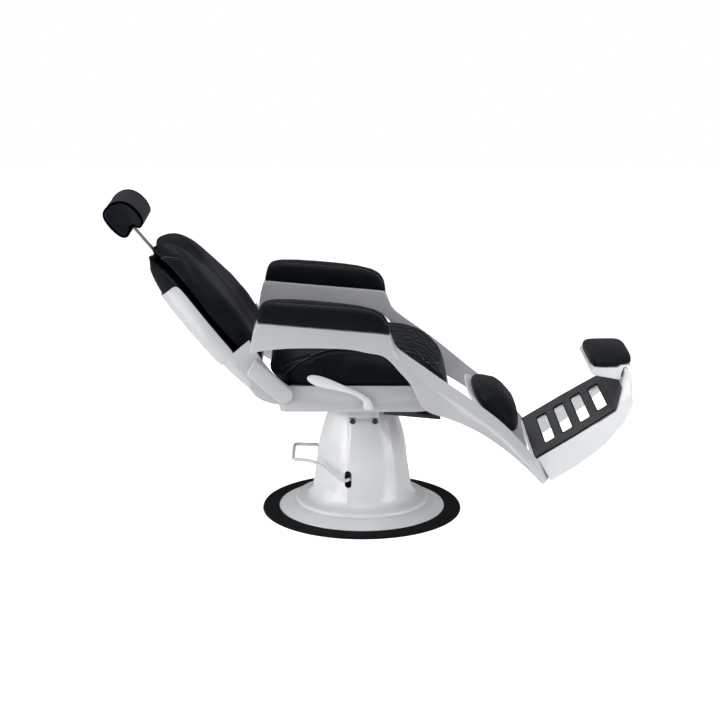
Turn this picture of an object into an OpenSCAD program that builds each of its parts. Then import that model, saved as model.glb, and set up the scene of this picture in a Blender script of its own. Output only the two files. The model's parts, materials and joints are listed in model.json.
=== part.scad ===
// Reclining barber chair on a hydraulic column.
// Millimetres, +Z up, +X towards the sitter's feet, +Y to the sitter's left.
// The origin lies on the floor, on the axis of the column.
// The pose is the photographed one: column down, back reclined, heel rest raised.

/* [Floor plate] */
// Outside diameter of the rubber floor ring
base_d = 600; // [580:5:680]
// Width of the rubber floor ring
ring_w = 50; // [40:1:60]
// Height of the rubber floor ring
ring_h = 9; // [6:0.5:12]
// Height of the floor disc under the column cover
disc_h = 28; // [26:0.5:30]
// Height of the floor disc at its rim
disc_rim_h = 12; // [10:0.5:14]

/* [Column cover] */
// Thickness of the floor disc's plate
disc_wall = 9; // [8:0.5:12]
// Diameter of the flange at the foot of the cover
flange_d = 400; // [380:5:440]
// Radius of the cover just above its flange
cover_foot_r = 150; // [140:1:160]
// Height of the cover above the floor disc
cover_h = 294; // [288:1:298]
// Wall thickness of the cover
cover_wall = 4; // [3:0.5:5]
// How far the six ridges stand proud
ridge_depth = 6; // [3:0.5:9]
// Height of the slots that the pedal passes through
slot_h = 48; // [44:1:56]
// Width of the slots that the pedal passes through
slot_w = 18; // [15:0.5:20]

/* [Lift] */
// Travel of the hydraulic ram
lift_travel = 160; // [120:5:170]
// Radius of the ram
ram_r = 36; // [32:0.5:38]
// Wall of the pump cylinder
cylinder_wall = 10; // [8:0.5:11]
// Radius of the swivel spigot
spigot_r = 20; // [16:0.5:24]

/* [Pedal] */
// Diameter of the pedal wire
wire_d = 11; // [10:0.5:12]
// Width of the pedal loop
pedal_w = 160; // [140:2:180]
// Distance from the column to the pedal bar
pedal_reach = 206; // [196:2:230]

/* [Seat] */
// Clear width between the two armrests
arm_gap = 502; // [490:2:540]
// Thickness of the blocks between seat tray and side frames
spacer_t = 15; // [15:0.5:20]
// Height of the underside of the seat tray
tray_z = 366; // [362:1:370]
// Height of the sides of the seat tray
tray_h = 76; // [70:1:80]
// Wall of the seat tray
tray_wall = 6; // [5:0.5:8]
// Depth of the seat tray from rear to front
tray_len = 508; // [500:2:520]
// Thickness of the seat cushion over the tray
seat_t = 116; // [100:2:124]

/* [Side frames] */
// Height of the top of the arm moulding above the floor
arm_z = 648; // [640:2:670]
// Reach of the side frame from the column to the leg tip
frame_reach = 540; // [530:2:550]
// Width of the arm moulding
arm_w = 70; // [60:1:76]
// Height of the armrest pad at its middle
arm_pad_h = 71; // [60:1:80]

/* [Backrest] */
// Lean of the reclined backrest from upright, in degrees
back_lean = 40; // [38:0.5:42]
// Length of the backrest from its pivot to its top
back_len = 545; // [530:5:570]
// Half width of the back cushion at its widest
back_half_w = 245; // [235:1:245]
// Depth of the upholstered core of the back
back_depth = 72; // [66:1:76]
// Radius of the recline shaft
shaft_r = 12; // [10:0.5:13]
// Radius from the recline shaft to the gas spring's eye
crank_r = 38; // [36:1:40]

/* [Headrest] */
// Width of the headrest bar
post_w = 18; // [14:1:22]
// Thickness of the headrest bar
post_t = 7; // [5:0.5:8]
// Width of the headrest pad
head_w = 230; // [200:5:260]
// Height of the headrest pad
head_h = 112; // [100:2:120]
// Depth of the headrest pad
head_depth = 96; // [86:2:104]

/* [Leg and foot rest] */
// Half width of the calf pad
calf_half_w = 204; // [180:2:206]
// Length of the calf pad along the leg
calf_len = 228; // [210:2:236]
// Thickness of the calf pad
calf_t = 46; // [40:1:50]
// Rise of the foot plate above level, in degrees
foot_rise = 32; // [30:0.5:34]
// Length of the foot plate up to its toe bend
foot_len = 271; // [266:1:280]
// Depth of the skirt round the foot plate
foot_skirt = 68; // [60:1:72]
// Half width of the rubber foot mat
mat_half_w = 211; // [204:1:212]
// Thickness of the rubber foot mat
mat_t = 4; // [3:0.5:5]
// Width of the slots in the foot plate
foot_slot_w = 35; // [30:1:40]
// Half width of the heel rest
heel_half_w = 146; // [130:2:150]
// Thickness of the heel pad
heel_pad_t = 36; // [30:1:42]

/* [Hidden] */
$fn = 72;

// Clearances and small sizes shared by many pieces
eps = 0.5;
gap = 0.3;
run_gap = 0.05;
soft_gap = 1;
plate_t = 8;
screw_r = 5;
screw_head_r = 9;
screw_head_h = 6;

// Colours
white = [0.93, 0.94, 0.95];
leather_black = [0.09, 0.10, 0.12];
rubber_black = [0.07, 0.07, 0.075];
mat_grey = [0.24, 0.25, 0.26];
steel = [0.62, 0.63, 0.65];
dark_steel = [0.16, 0.16, 0.17];
chrome = [0.80, 0.81, 0.83];

// Smooth curve through a list of values or points
function catmull(a, b, c, d, t) = 0.5 * (2 * b + (c - a) * t + (2 * a - 5 * b + 4 * c - d) * t * t
    + (3 * b - a - 3 * c + d) * t * t * t);
function smooth(p, n) = [for (i = [0 : len(p) - 2]) for (k = [0 : n - 1])
    catmull(p[max(i - 1, 0)], p[i], p[i + 1], p[min(i + 2, len(p) - 1)], k / n), p[len(p) - 1]];
function smooth_loop(p, n) = [for (i = [0 : len(p) - 1]) for (k = [0 : n - 1])
    catmull(p[(i + len(p) - 1) % len(p)], p[i], p[(i + 1) % len(p)], p[(i + 2) % len(p)], k / n)];
function clamp01(t) = min(1, max(0, t));
function ease(a, b, x) = let(t = clamp01((x - a) / (b - a))) t * t * (3 - 2 * t);
function signed_pow(v, e) = sign(v) * pow(abs(v), e);
function column(table, c) = [for (row = table) [row[0], row[c]]];

// Skin over rings that follow each other, closed by a fan at each end
module skin(rings) {
    n = len(rings[0]);
    m = len(rings);
    first = [for (c = [0 : 2]) [for (p = rings[0]) p[c]] * [for (p = rings[0]) 1 / n]];
    last = [for (c = [0 : 2]) [for (p = rings[m - 1]) p[c]] * [for (p = rings[0]) 1 / n]];
    points = [for (r = rings) for (p = r) p, first, last];
    sides = [for (i = [0 : m - 2]) for (j = [0 : n - 1]) let(k = (j + 1) % n)
        each [[i * n + j, (i + 1) * n + j, (i + 1) * n + k], [i * n + j, (i + 1) * n + k, i * n + k]]];
    ends = [for (j = [0 : n - 1]) let(k = (j + 1) % n)
        each [[m * n, j, k], [m * n + 1, (m - 1) * n + k, (m - 1) * n + j]]];
    polyhedron(points, concat(sides, ends), convexity = 8);
}

// Thin wall between two grids of points of the same size
module wall_between(front, back) {
    m = len(front);
    n = len(front[0]);
    s = m * n;
    points = [for (r = front) for (p = r) p, for (r = back) for (p = r) p];
    faces = [for (i = [0 : m - 2]) for (j = [0 : n - 2]) let(a = i * n + j, b = a + 1, c = a + n, d = c + 1)
        each [[a, c, d], [a, d, b], [s + a, s + d, s + c], [s + a, s + b, s + d]]];
    ends = [for (j = [0 : n - 2]) let(a = j, b = j + 1, c = (m - 1) * n + j, d = c + 1)
        each [[a, b, s + b], [a, s + b, s + a], [c, s + d, d], [c, s + c, s + d]]];
    edges = [for (i = [0 : m - 2]) let(a = i * n, c = a + n, b = a + n - 1, d = c + n - 1)
        each [[a, s + a, s + c], [a, s + c, c], [b, d, s + d], [b, s + d, s + b]]];
    polyhedron(points, concat(faces, ends, edges), convexity = 8);
}

// Round wire bent through a list of points
module wire(path, r) {
    n = 12;
    m = len(path);
    tangent = [for (i = [0 : m - 1]) let(t = path[min(i + 1, m - 1)] - path[max(i - 1, 0)]) t / norm(t)];
    skin([for (i = [0 : m - 1]) let(t = tangent[i], u0 = cross(t, [0.03, 0.02, 1]), u = u0 / norm(u0), v = cross(t, u))
        [for (k = [0 : n - 1]) path[i] + r * cos(k * 360 / n) * u + r * sin(k * 360 / n) * v]]);
}

// Cylinder lying along Y between two values of y
module y_cylinder(x, z, y0, y1, r) {
    translate([x, y1, z])
        rotate([90, 0, 0])
            cylinder(r = r, h = y1 - y0);
}

// Outline in x and z pushed out along Y between two values of y
module y_extrude(y0, y1) {
    translate([0, y1, 0])
        rotate([90, 0, 0])
            linear_extrude(y1 - y0)
                children();
}

// Rectangle with round corners, centred
module round_rect(w, l, r) {
    square([w, l - 2 * r], center = true);
    square([w - 2 * r, l], center = true);
    for (sx = [-1, 1])
        for (sy = [-1, 1])
            translate([sx * (w / 2 - r), sy * (l / 2 - r)])
                circle(r = r);
}

module both_sides() {
    children();
    mirror([0, 1, 0])
        children();
}

// Floor plate

module floor_ring() {
    r_out = base_d / 2;
    r_in = r_out - ring_w;
    color(rubber_black)
        rotate_extrude($fn = 120)
            polygon([[r_in, 0], [r_out - ring_h / 4, 0], [r_out, ring_h / 4], [r_out, ring_h / 2],
                [r_out - ring_h / 2, ring_h], [r_in, ring_h]]);
}

module floor_disc() {
    r = base_d / 2 - ring_w - gap;
    lip = disc_rim_h / 4;
    r_top = flange_d / 2;
    color(white)
        rotate_extrude($fn = 120)
            polygon([[0, disc_h - disc_wall], [r_top - disc_wall, disc_h - disc_wall], [r_top + lip, disc_rim_h - 2 * lip],
                [r_top + 2 * lip, 0], [r, 0], [r, disc_rim_h - lip], [r - lip, disc_rim_h], [r_top + 3 * lip, disc_h - lip],
                [r_top, disc_h], [0, disc_h]]);
}

// Column cover: two half shells that close round the column and the pedal

cover_z = disc_h;
cover_top_z = cover_z + cover_h;
slot_x = -42;
slot_z = 129;
// Radius over the foot radius, against height over the cover height
cover_shares = [[0, 1.333], [0.020, 1.333], [0.031, 1.318], [0.038, 1.24], [0.048, 1.15], [0.065, 1.075],
    [0.095, 1.025], [0.16, 0.995], [0.30, 0.950], [0.43, 0.915], [0.571, 0.885], [0.72, 0.825], [0.87, 0.735],
    [0.98, 0.652], [1, 0.62]];
ridge_angle = -106;
ridge_step = 60;
flange_scale = flange_d / 2 / (cover_foot_r * cover_shares[0][1]);
function cover_r(s) = lookup(s, cover_shares) * cover_foot_r
    * (s < cover_shares[4][0] ? flange_scale : 1);
function ridge(s, a) = ridge_depth * ease(0.05, 0.3, s) * (1 - 0.6 * ease(0.7, 1, s))
    * (0.5 - pow(abs(sin((a - ridge_angle) * 180 / ridge_step)), 0.8));
cover_hole_r = ram_r + cylinder_wall + plate_t;

module cover_shell() {
    steps = 72;
    levels = [0.095, 0.25, 0.58, 0.87];
    inner = [for (s = levels) [cover_r(s) - cover_wall - ridge_depth / 2, cover_z + s * cover_h]];
    flange_in = flange_d / 2 - cover_wall;
    difference() {
        skin([for (row = cover_shares) [for (k = [0 : steps - 1]) let(a = k * 360 / steps,
            r = cover_r(row[0]) + ridge(row[0], a)) [r * cos(a), r * sin(a), cover_z + row[0] * cover_h]]]);
        rotate_extrude()
            polygon(concat([[0, cover_z - eps], [flange_in, cover_z - eps], [flange_in, cover_z + 0.5 * cover_wall],
                [inner[0][0] + 2 * cover_wall, cover_z + 0.7 * cover_wall]],
                inner, [[inner[len(inner) - 1][0] - 2 * cover_wall, cover_top_z - 1.4 * cover_wall],
                [0, cover_top_z - 1.4 * cover_wall]]));
        translate([0, 0, cover_top_z - 2 * cover_wall])
            cylinder(r = cover_hole_r, h = 4 * cover_wall);
        y_cylinder(slot_x, slot_z + (slot_h - slot_w) / 2, -flange_d / 2, flange_d / 2, slot_w / 2);
        y_cylinder(slot_x, slot_z - (slot_h - slot_w) / 2, -flange_d / 2, flange_d / 2, slot_w / 2);
        translate([slot_x - slot_w / 2, -flange_d / 2, slot_z - (slot_h - slot_w) / 2])
            cube([slot_w, flange_d, slot_h - slot_w]);
    }
}

module cover_front() {
    color(white)
        intersection() {
            cover_shell();
            translate([slot_x + gap / 2, -flange_d, cover_z])
                cube([2 * flange_d, 2 * flange_d, 2 * cover_h]);
        }
}

module cover_rear() {
    color(white)
        intersection() {
            cover_shell();
            translate([slot_x - gap / 2 - 2 * flange_d, -flange_d, cover_z])
                cube([2 * flange_d, 2 * flange_d, 2 * cover_h]);
        }
}

// Hydraulic pump inside the cover

pump_flange_r = 80;
pump_flange_t = 12;
pump_bolt_count = 6;
pump_bolt_pcd = 130;
cylinder_r = ram_r + cylinder_wall;
cylinder_z = disc_h + pump_flange_t;
cylinder_top_z = cover_top_z - 22;
bush_h = 16;
ram_z = cylinder_z + 3 * cylinder_wall;
ram_head_z = cover_top_z + plate_t;
pedal_pivot_x = 22;
pedal_pivot_z = 124;
axle_r = 6;
pedal_inner_y = cylinder_r + 14;
crossbar_reach = 92;
crossbar_r = 5;
plunger_r = 8;
chamber_r = 17;
chamber_h = 44;
chamber_x = pedal_pivot_x - crossbar_reach;
collar_h = 28;
collar_t = 7;

module pump_flange() {
    color(dark_steel)
        translate([0, 0, disc_h])
            difference() {
                cylinder(r = pump_flange_r, h = pump_flange_t);
                for (k = [0 : pump_bolt_count - 1])
                    rotate([0, 0, k * 360 / pump_bolt_count + 30])
                        translate([pump_bolt_pcd / 2, 0, -eps])
                            cylinder(r = screw_r + gap, h = pump_flange_t + 2 * eps);
            }
}

module pump_bolts() {
    color(steel)
        for (k = [0 : pump_bolt_count - 1])
            rotate([0, 0, k * 360 / pump_bolt_count + 30])
                translate([pump_bolt_pcd / 2, 0, disc_h]) {
                    cylinder(r = screw_r, h = pump_flange_t);
                    translate([0, 0, pump_flange_t])
                        cylinder(r = screw_head_r, h = screw_head_h, $fn = 6);
                }
}

module pump_cylinder() {
    color(steel)
        translate([0, 0, cylinder_z])
            difference() {
                cylinder(r = cylinder_r, h = cylinder_top_z - cylinder_z);
                translate([0, 0, cylinder_wall])
                    cylinder(r = ram_r + run_gap, h = cylinder_top_z);
            }
}

module guide_bush() {
    color(dark_steel)
        translate([0, 0, cylinder_top_z])
            difference() {
                cylinder(r = cylinder_r + cylinder_wall / 2, h = bush_h);
                translate([0, 0, -eps])
                    cylinder(r = ram_r + run_gap, h = bush_h + 2 * eps);
            }
}

module pump_collar() {
    z = pedal_pivot_z - collar_h / 2;
    boss_y = pedal_inner_y - axle_r - gap;
    color(dark_steel)
        difference() {
            union() {
                translate([0, 0, z])
                    cylinder(r = cylinder_r + collar_t, h = collar_h);
                y_cylinder(pedal_pivot_x, pedal_pivot_z, -boss_y, boss_y, 2 * axle_r);
            }
            translate([0, 0, z - collar_h])
                cylinder(r = cylinder_r, h = 3 * collar_h);
            y_cylinder(pedal_pivot_x, pedal_pivot_z, -2 * boss_y, 2 * boss_y, axle_r);
        }
}

module pedal_axles() {
    color(steel)
        both_sides()
            y_cylinder(pedal_pivot_x, pedal_pivot_z, sqrt(pow(cylinder_r, 2) - pow(pedal_pivot_x - axle_r, 2)) + gap,
                pedal_inner_y + wire_d, axle_r);
}

module pump_chamber() {
    color(dark_steel)
        translate([chamber_x, 0, cylinder_z])
            difference() {
                cylinder(r = chamber_r, h = chamber_h);
                translate([0, 0, cylinder_wall])
                    cylinder(r = plunger_r + run_gap, h = chamber_h);
            }
}

module pump_plunger() {
    top_z = pedal_pivot_z - crossbar_r - gap;
    head_h = 8;
    color(steel)
        translate([chamber_x, 0, 0]) {
            translate([0, 0, cylinder_z + chamber_h - cylinder_wall])
                cylinder(r = plunger_r, h = top_z - cylinder_z - chamber_h + cylinder_wall);
            translate([0, 0, top_z - head_h])
                cylinder(r = 1.5 * plunger_r, h = head_h);
        }
}

// Pedal: a bent wire loop that leaves the cover through its two slots

pedal_bar_z = 174;
pedal_arm = [[pedal_pivot_x, pedal_inner_y, pedal_pivot_z], [-8, 1.36 * pedal_inner_y, pedal_pivot_z + 2],
    [slot_x + 9, 1.88 * pedal_inner_y, slot_z - 2], [slot_x - 1, 2.30 * pedal_inner_y, slot_z],
    [slot_x - 16, 2.52 * pedal_inner_y, slot_z + 2], [1.95 * slot_x, 2.35 * pedal_inner_y, slot_z + 12],
    [2.7 * slot_x, 1.80 * pedal_inner_y, slot_z + 29], [-0.69 * pedal_reach, 0.575 * pedal_w, pedal_bar_z - 5],
    [-0.80 * pedal_reach, 0.52 * pedal_w, pedal_bar_z - 2], [-0.93 * pedal_reach, pedal_w / 2, pedal_bar_z],
    [-0.985 * pedal_reach, 0.475 * pedal_w, pedal_bar_z], [-pedal_reach, 0.41 * pedal_w, pedal_bar_z]];

module pump_pedal() {
    half = smooth(pedal_arm, 3);
    m = len(half);
    cross_half = smooth([[-8, 1.36 * pedal_inner_y, pedal_pivot_z + 2], [chamber_x + 12, 1.1 * pedal_inner_y, pedal_pivot_z + 1],
        [chamber_x, 0.6 * pedal_inner_y, pedal_pivot_z]], 2);
    c = len(cross_half);
    color(white)
        difference() {
            union() {
                wire(concat([for (i = [1 : m - 1]) half[i]],
                    [for (i = [m - 1 : -1 : 1]) [half[i][0], -half[i][1], half[i][2]]]), wire_d / 2);
                wire(concat(cross_half, [for (i = [c - 1 : -1 : 0]) [cross_half[i][0], -cross_half[i][1], cross_half[i][2]]]),
                    crossbar_r);
                both_sides()
                    y_cylinder(pedal_pivot_x, pedal_pivot_z, pedal_inner_y - axle_r, pedal_inner_y + axle_r, 2 * axle_r);
            }
            both_sides()
                y_cylinder(pedal_pivot_x, pedal_pivot_z, pedal_inner_y - wire_d, pedal_inner_y + 2 * wire_d,
                    axle_r + run_gap);
        }
}

// Ram and swivel

head_r = ram_r + plate_t;
head_t = 6;
washer_t = 2;
bracket_z = ram_head_z + head_t + washer_t;
bracket_t = 10;
bracket_half_x = 45;
bracket_half_y = 126;
ear_t = 14;
ear_z = 315;
bolt_half_x = 33;
bracket_x = 4;

module ram() {
    color(chrome)
        translate([0, 0, ram_z])
            cylinder(r = ram_r, h = ram_head_z - ram_z);
}

module ram_head() {
    color(steel)
        translate([0, 0, ram_head_z]) {
            cylinder(r = head_r, h = head_t);
            cylinder(r = spigot_r, h = tray_z - ram_head_z - gap);
        }
}

module thrust_washer() {
    color(steel)
        translate([0, 0, ram_head_z + head_t])
            difference() {
                cylinder(r = head_r, h = washer_t);
                translate([0, 0, -eps])
                    cylinder(r = spigot_r + gap, h = washer_t + 2 * eps);
            }
}

module swivel_bracket() {
    color(steel)
        difference() {
            union() {
                translate([bracket_x - bracket_half_x, -bracket_half_y, bracket_z])
                    cube([2 * bracket_half_x, 2 * bracket_half_y, bracket_t]);
                both_sides()
                    translate([bracket_x - bracket_half_x, bracket_half_y - ear_t, ear_z])
                        cube([2 * bracket_half_x, ear_t, bracket_z - ear_z + eps]);
                translate([0, 0, bracket_z])
                    cylinder(r = 1.6 * spigot_r, h = tray_z - bracket_z - gap);
            }
            translate([0, 0, bracket_z - eps])
                cylinder(r = spigot_r + run_gap, h = tray_z);
            for (sx = [-1, 1])
                for (sy = [-1, 1])
                    translate([bracket_x + sx * bolt_half_x, sy * (bracket_half_y - ear_t / 2), ear_z - eps])
                        cylinder(r = screw_r + gap, h = tray_z);
        }
}

module bracket_bolts() {
    nut_h = 8;
    color(dark_steel)
        for (sx = [-1, 1])
            for (sy = [-1, 1])
                translate([bracket_x + sx * bolt_half_x, sy * (bracket_half_y - ear_t / 2), ear_z]) {
                    translate([0, 0, -nut_h * 2.4])
                        cylinder(r = screw_r, h = bracket_z + bracket_t - ear_z + nut_h * 2.4);
                    translate([0, 0, -washer_t])
                        cylinder(r = screw_head_r + washer_t, h = washer_t);
                    translate([0, 0, -nut_h * 2])
                        cylinder(r = screw_head_r, h = nut_h, $fn = 6);
                }
}

// Chassis and seat

rail_z = bracket_z + bracket_t;
rail_half_y = 86;
rail_w = 26;
rail_rear_x = -190;
rail_front_x = 225;
tray_half_w = arm_gap / 2 - spacer_t;
tray_rear_x = -252;
tray_front_x = tray_rear_x + tray_len;
tray_top_z = tray_z + tray_h;
board_t = 12;
bearer_t = 8;
pivot_x = -226;
pivot_z = 423;
lever_x = 11;
lever_z = 388;
lever_shaft_r = 6;
lever_bush_r = 10;
bush_r = shaft_r + 4;

module chassis_rails() {
    bar_w = rail_w;
    color(dark_steel)
        difference() {
            union() {
                both_sides()
                    translate([rail_rear_x, rail_half_y - rail_w, rail_z])
                        cube([rail_front_x - rail_rear_x, rail_w, tray_z - rail_z]);
                for (x = [rail_rear_x, rail_front_x - bar_w])
                    translate([x, -rail_half_y, rail_z])
                        cube([bar_w, 2 * rail_half_y, tray_z - rail_z]);
            }
            for (x = [rail_rear_x + bar_w / 2, rail_front_x - bar_w / 2])
                translate([x, 0, rail_z - eps])
                    cylinder(r = screw_r, h = tray_z);
        }
}

// Side outline of the tray in shares of its length and its height, from its rear lower corner
tray_side_shares = [[0, 1], [0.004, 0.62], [0.03, 0], [0.80, 0], [0.92, 0.08], [1, 0.32], [1, 0.46],
    [0.965, 0.62], [0.88, 0.92], [0.84, 1]];

module tray_side(inset, floor_up) {
    polygon([for (s = tray_side_shares) [tray_rear_x + inset + s[0] * (tray_len - 2 * inset),
        tray_z + floor_up + s[1] * (tray_h - floor_up) + (s[1] == 1 ? floor_up : 0)]]);
}

// Plan of the tray with its corners cut, centred on the tray
module tray_plan(inset) {
    x = tray_len / 2 - inset;
    y = tray_half_w - inset;
    c = tray_corner - 0.6 * inset;
    polygon([[-x + c, -y], [x - c, -y], [x - 0.3 * c, -y + 0.3 * c], [x, -y + c], [x, y - c], [x - 0.3 * c, y - 0.3 * c],
        [x - c, y], [-x + c, y], [-x + 0.3 * c, y - 0.3 * c], [-x, y - c], [-x, -y + c], [-x + 0.3 * c, -y + 0.3 * c]]);
}

tray_corner = 30;

module tray_solid(inset, lift) {
    intersection() {
        y_extrude(-tray_half_w, tray_half_w)
            tray_side(inset, lift);
        translate([tray_rear_x + tray_len / 2, 0, 0])
            linear_extrude(2 * tray_z)
                tray_plan(inset);
    }
}

module seat_tray() {
    half_w = tray_half_w;
    color(white)
        difference() {
            tray_solid(0, 0);
            tray_solid(tray_wall, tray_wall);
            y_cylinder(pivot_x, pivot_z, -2 * half_w, 2 * half_w, bush_r);
            y_cylinder(lever_x, lever_z, -2 * half_w, 0, lever_bush_r);
            both_sides()
                for (p = frame_bolt_places())
                    y_cylinder(p[0], p[1], half_w - 2 * tray_wall, 2 * half_w, screw_r + gap);
        }
}

module seat_board() {
    rear_x = pivot_x + bush_r + gap + 2;
    front_x = tray_front_x - 86;
    half_w = tray_half_w - tray_wall - gap;
    color([0.72, 0.58, 0.40])
        translate([rear_x, -half_w, tray_top_z - board_t + soft_gap - gap])
            cube([front_x - rear_x, 2 * half_w, board_t]);
}

// Seat cushion: rear and front limits and half width over their full values, against height
seat_rear_x = -266;
seat_front_x = 257;
seat_base_z = tray_top_z + soft_gap;
seat_nose_drop = 34;
seat_levels = [[0, 0.25], [0, 0.72], [0, 0.87], [0, 0.985], [0.08, 0.992], [0.28, 0.999], [0.48, 1], [0.66, 0.985],
    [0.80, 0.95], [0.895, 0.885], [0.945, 0.80], [0.972, 0.68], [0.987, 0.54], [0.995, 0.38], [1, 0.22], [1, 0.07]];
seat_half_w = tray_half_w - 3;
seat_crown = 0.22;
// Height of the cushion over its full height, against the place from rear to front
seat_rise_shares = [[-1, 0.86], [-0.75, 0.97], [-0.5, 1.0], [-0.2, 0.985], [0.1, 0.91], [0.34, 0.85], [0.68, 0.79],
    [0.80, 0.67], [0.885, 0.56], [0.95, 0.47], [1, 0.34]];

function seat_point(a, h, r) = let(
    cx = signed_pow(cos(a), 0.42), cy = signed_pow(sin(a), 0.42),
    mid = (seat_rear_x + seat_front_x) / 2, half = (seat_front_x - seat_rear_x) / 2,
    x0 = mid + r * cx * half, y0 = r * cy * seat_half_w,
    rear = ease(0.55, 1, (mid - x0) / half),
    draw = 1 - 0.012 * (1 - abs(cy)) * abs(cx) - 0.012 * (1 - abs(cx)) * abs(cy),
    x = mid + (x0 - mid) * draw - (rear > 0 ? 1 : 0) * -38 * rear * pow(1 - clamp01(h / 0.42), 1.6),
    y = y0 * draw,
    lift = seat_t * (1 - seat_crown * pow(abs(y0 / seat_half_w), 3)) * lookup((x0 - mid) / half, seat_rise_shares))
    [x, y, seat_base_z + h * lift - (1 - h) * seat_nose_drop * ease(0.86, 1, (x0 - mid) / half)];

module seat_cushion() {
    n = 64;
    color(leather_black)
        skin([for (l = seat_levels) [for (k = [0 : n - 1]) seat_point(k * 360 / n, l[0], l[1])]]);
}

// Side frames: each is one moulding, armrest and leg

// x over the frame's reach, lower and upper z over the arm height, drop of the outer edge over
// the arm width, inner y over half the arm gap, and thickness over the arm width
frame_shares = [
    [-0.591, 0.859, 0.872, 0.00, 1.000, 0.96], [-0.583, 0.860, 0.926, 0.00, 1.000, 0.99],
    [-0.570, 0.862, 0.972, 0.00, 1.000, 1.00], [-0.557, 0.866, 0.996, 0.00, 1.000, 1.00],
    [-0.537, 0.869, 1.000, 0.00, 1.000, 1.00], [-0.465, 0.878, 0.994, 0.00, 1.000, 1.00],
    [-0.367, 0.883, 0.987, 0.00, 1.000, 1.00], [-0.241, 0.884, 0.978, 0.00, 1.000, 1.00],
    [-0.028, 0.878, 0.963, 0.00, 1.000, 1.00], [0.055, 0.872, 0.957, 0.00, 1.000, 1.00],
    [0.102, 0.855, 0.954, 0.00, 1.000, 1.00], [0.132, 0.833, 0.950, 0.02, 1.000, 1.00],
    [0.147, 0.818, 0.925, 0.06, 1.000, 1.00], [0.167, 0.798, 0.880, 0.10, 1.000, 1.00],
    [0.190, 0.773, 0.858, 0.16, 1.000, 1.00], [0.225, 0.742, 0.838, 0.24, 1.000, 1.00],
    [0.252, 0.712, 0.821, 0.30, 1.000, 1.00], [0.280, 0.661, 0.805, 0.34, 1.000, 0.995],
    [0.300, 0.621, 0.793, 0.36, 1.000, 0.99], [0.320, 0.602, 0.782, 0.38, 1.000, 0.98],
    [0.355, 0.584, 0.760, 0.39, 1.000, 0.96], [0.400, 0.571, 0.733, 0.38, 0.998, 0.92],
    [0.465, 0.551, 0.693, 0.37, 0.980, 0.87], [0.555, 0.511, 0.636, 0.39, 0.908, 0.89],
    [0.630, 0.474, 0.587, 0.42, 0.862, 0.89], [0.722, 0.418, 0.530, 0.46, 0.853, 0.80],
    [0.800, 0.364, 0.468, 0.50, 0.852, 0.72], [0.870, 0.310, 0.405, 0.52, 0.855, 0.63],
    [0.930, 0.261, 0.346, 0.52, 0.855, 0.58], [1.010, 0.180, 0.272, 0.52, 0.855, 0.55]];
frame_round = 10;
frame_top_round = 16;

function frame_at(c, x) = lookup(x / frame_reach, column(frame_shares, c));
function frame_low(x) = arm_z * frame_at(1, x);
function frame_top(x) = arm_z * frame_at(2, x);
function frame_in(x) = arm_gap / 2 * frame_at(4, x);

// One corner of a section, as three points of a curve from one side to the next
function corner(p, from, to, r) = let(a = p + (from - p) * min(r / norm(from - p), 0.45),
    b = p + (to - p) * min(r / norm(to - p), 0.45))
    [a, 0.25 * a + 0.5 * p + 0.25 * b, b];

function frame_section(x) = let(
    y0 = frame_in(x), y1 = y0 + arm_w * frame_at(5, x), z0 = frame_low(x), z1 = frame_top(x),
    drop = arm_w * frame_at(3, x),
    a = [y0, z0], b = [y1, z0 + drop * 0.12], c = [y1, z1 - drop], d = [y0, z1],
    loop = concat(corner(a, d, b, frame_round * 0.5), corner(b, a, c, frame_round),
        corner(c, b, d, frame_top_round), corner(d, c, a, frame_round * 0.5)))
    [for (p = loop) [x, p[0], p[1]]];

// The leg ends on the line where the foot frame begins
foot_x = frame_reach - 35;
foot_z = arm_z / 3;
leg_end_x = 5;
leg_end_share = 0.79;

module in_foot() {
    translate([foot_x, 0, foot_z])
        rotate([0, -foot_rise, 0])
            children();
}

module side_frame_left() {
    color(white)
        difference() {
            skin([for (row = frame_shares) frame_section(row[0] * frame_reach)]);
            in_foot() {
                translate([leg_end_x, -arm_gap, -arm_gap])
                    cube(2 * arm_gap);
                translate([-foot_skirt, 0, -leg_end_share * foot_skirt - arm_gap])
                    cube(arm_gap);
            }
        }
}

module side_frame_right() {
    mirror([0, 1, 0])
        side_frame_left();
}

// Blocks and bolts that hold the side frames to the tray
spacer_x = 0.315 * frame_reach;
spacer_z = tray_z + 21;
spacer_half_x = 24;
spacer_half_z = 14;
function spacer_out_y() = frame_in(spacer_x + 2 * spacer_half_x) - gap;
function frame_bolt_places() = [for (s = [-1, 1]) [spacer_x + spacer_half_x + s * spacer_half_x * 0.6, spacer_z + spacer_half_z]];

module frame_spacers() {
    color(dark_steel)
        both_sides()
            difference() {
                translate([spacer_x, tray_half_w + gap, spacer_z])
                    cube([2 * spacer_half_x, spacer_out_y() - tray_half_w - gap, 2 * spacer_half_z]);
                for (p = frame_bolt_places())
                    y_cylinder(p[0], p[1], tray_half_w - eps, arm_gap, screw_r + gap);
            }
}

module frame_bolts() {
    color(steel)
        both_sides()
            for (p = frame_bolt_places()) {
                y_cylinder(p[0], p[1], tray_half_w - tray_wall - screw_head_h / 2, spacer_out_y(), screw_r);
                y_cylinder(p[0], p[1], tray_half_w - tray_wall - screw_head_h, tray_half_w - tray_wall - gap,
                    screw_head_r);
            }
}

bearer_rear_x = 60;
bearer_front_x = 224;
bearer_drop = 20;
bearer_half_y = 236;

module leg_bearer() {
    mid_x = (bearer_rear_x + bearer_front_x) / 2;
    color(dark_steel)
        both_sides()
            y_extrude(rail_half_y + gap, bearer_half_y)
                polygon([[bearer_rear_x, tray_z - gap], [bearer_rear_x, tray_z - bearer_t],
                    [bearer_front_x, tray_z - 0.4 * bearer_t - bearer_drop], [bearer_front_x, tray_z - bearer_drop],
                    [mid_x, tray_z - gap]]);
}

// Armrest pads

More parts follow.
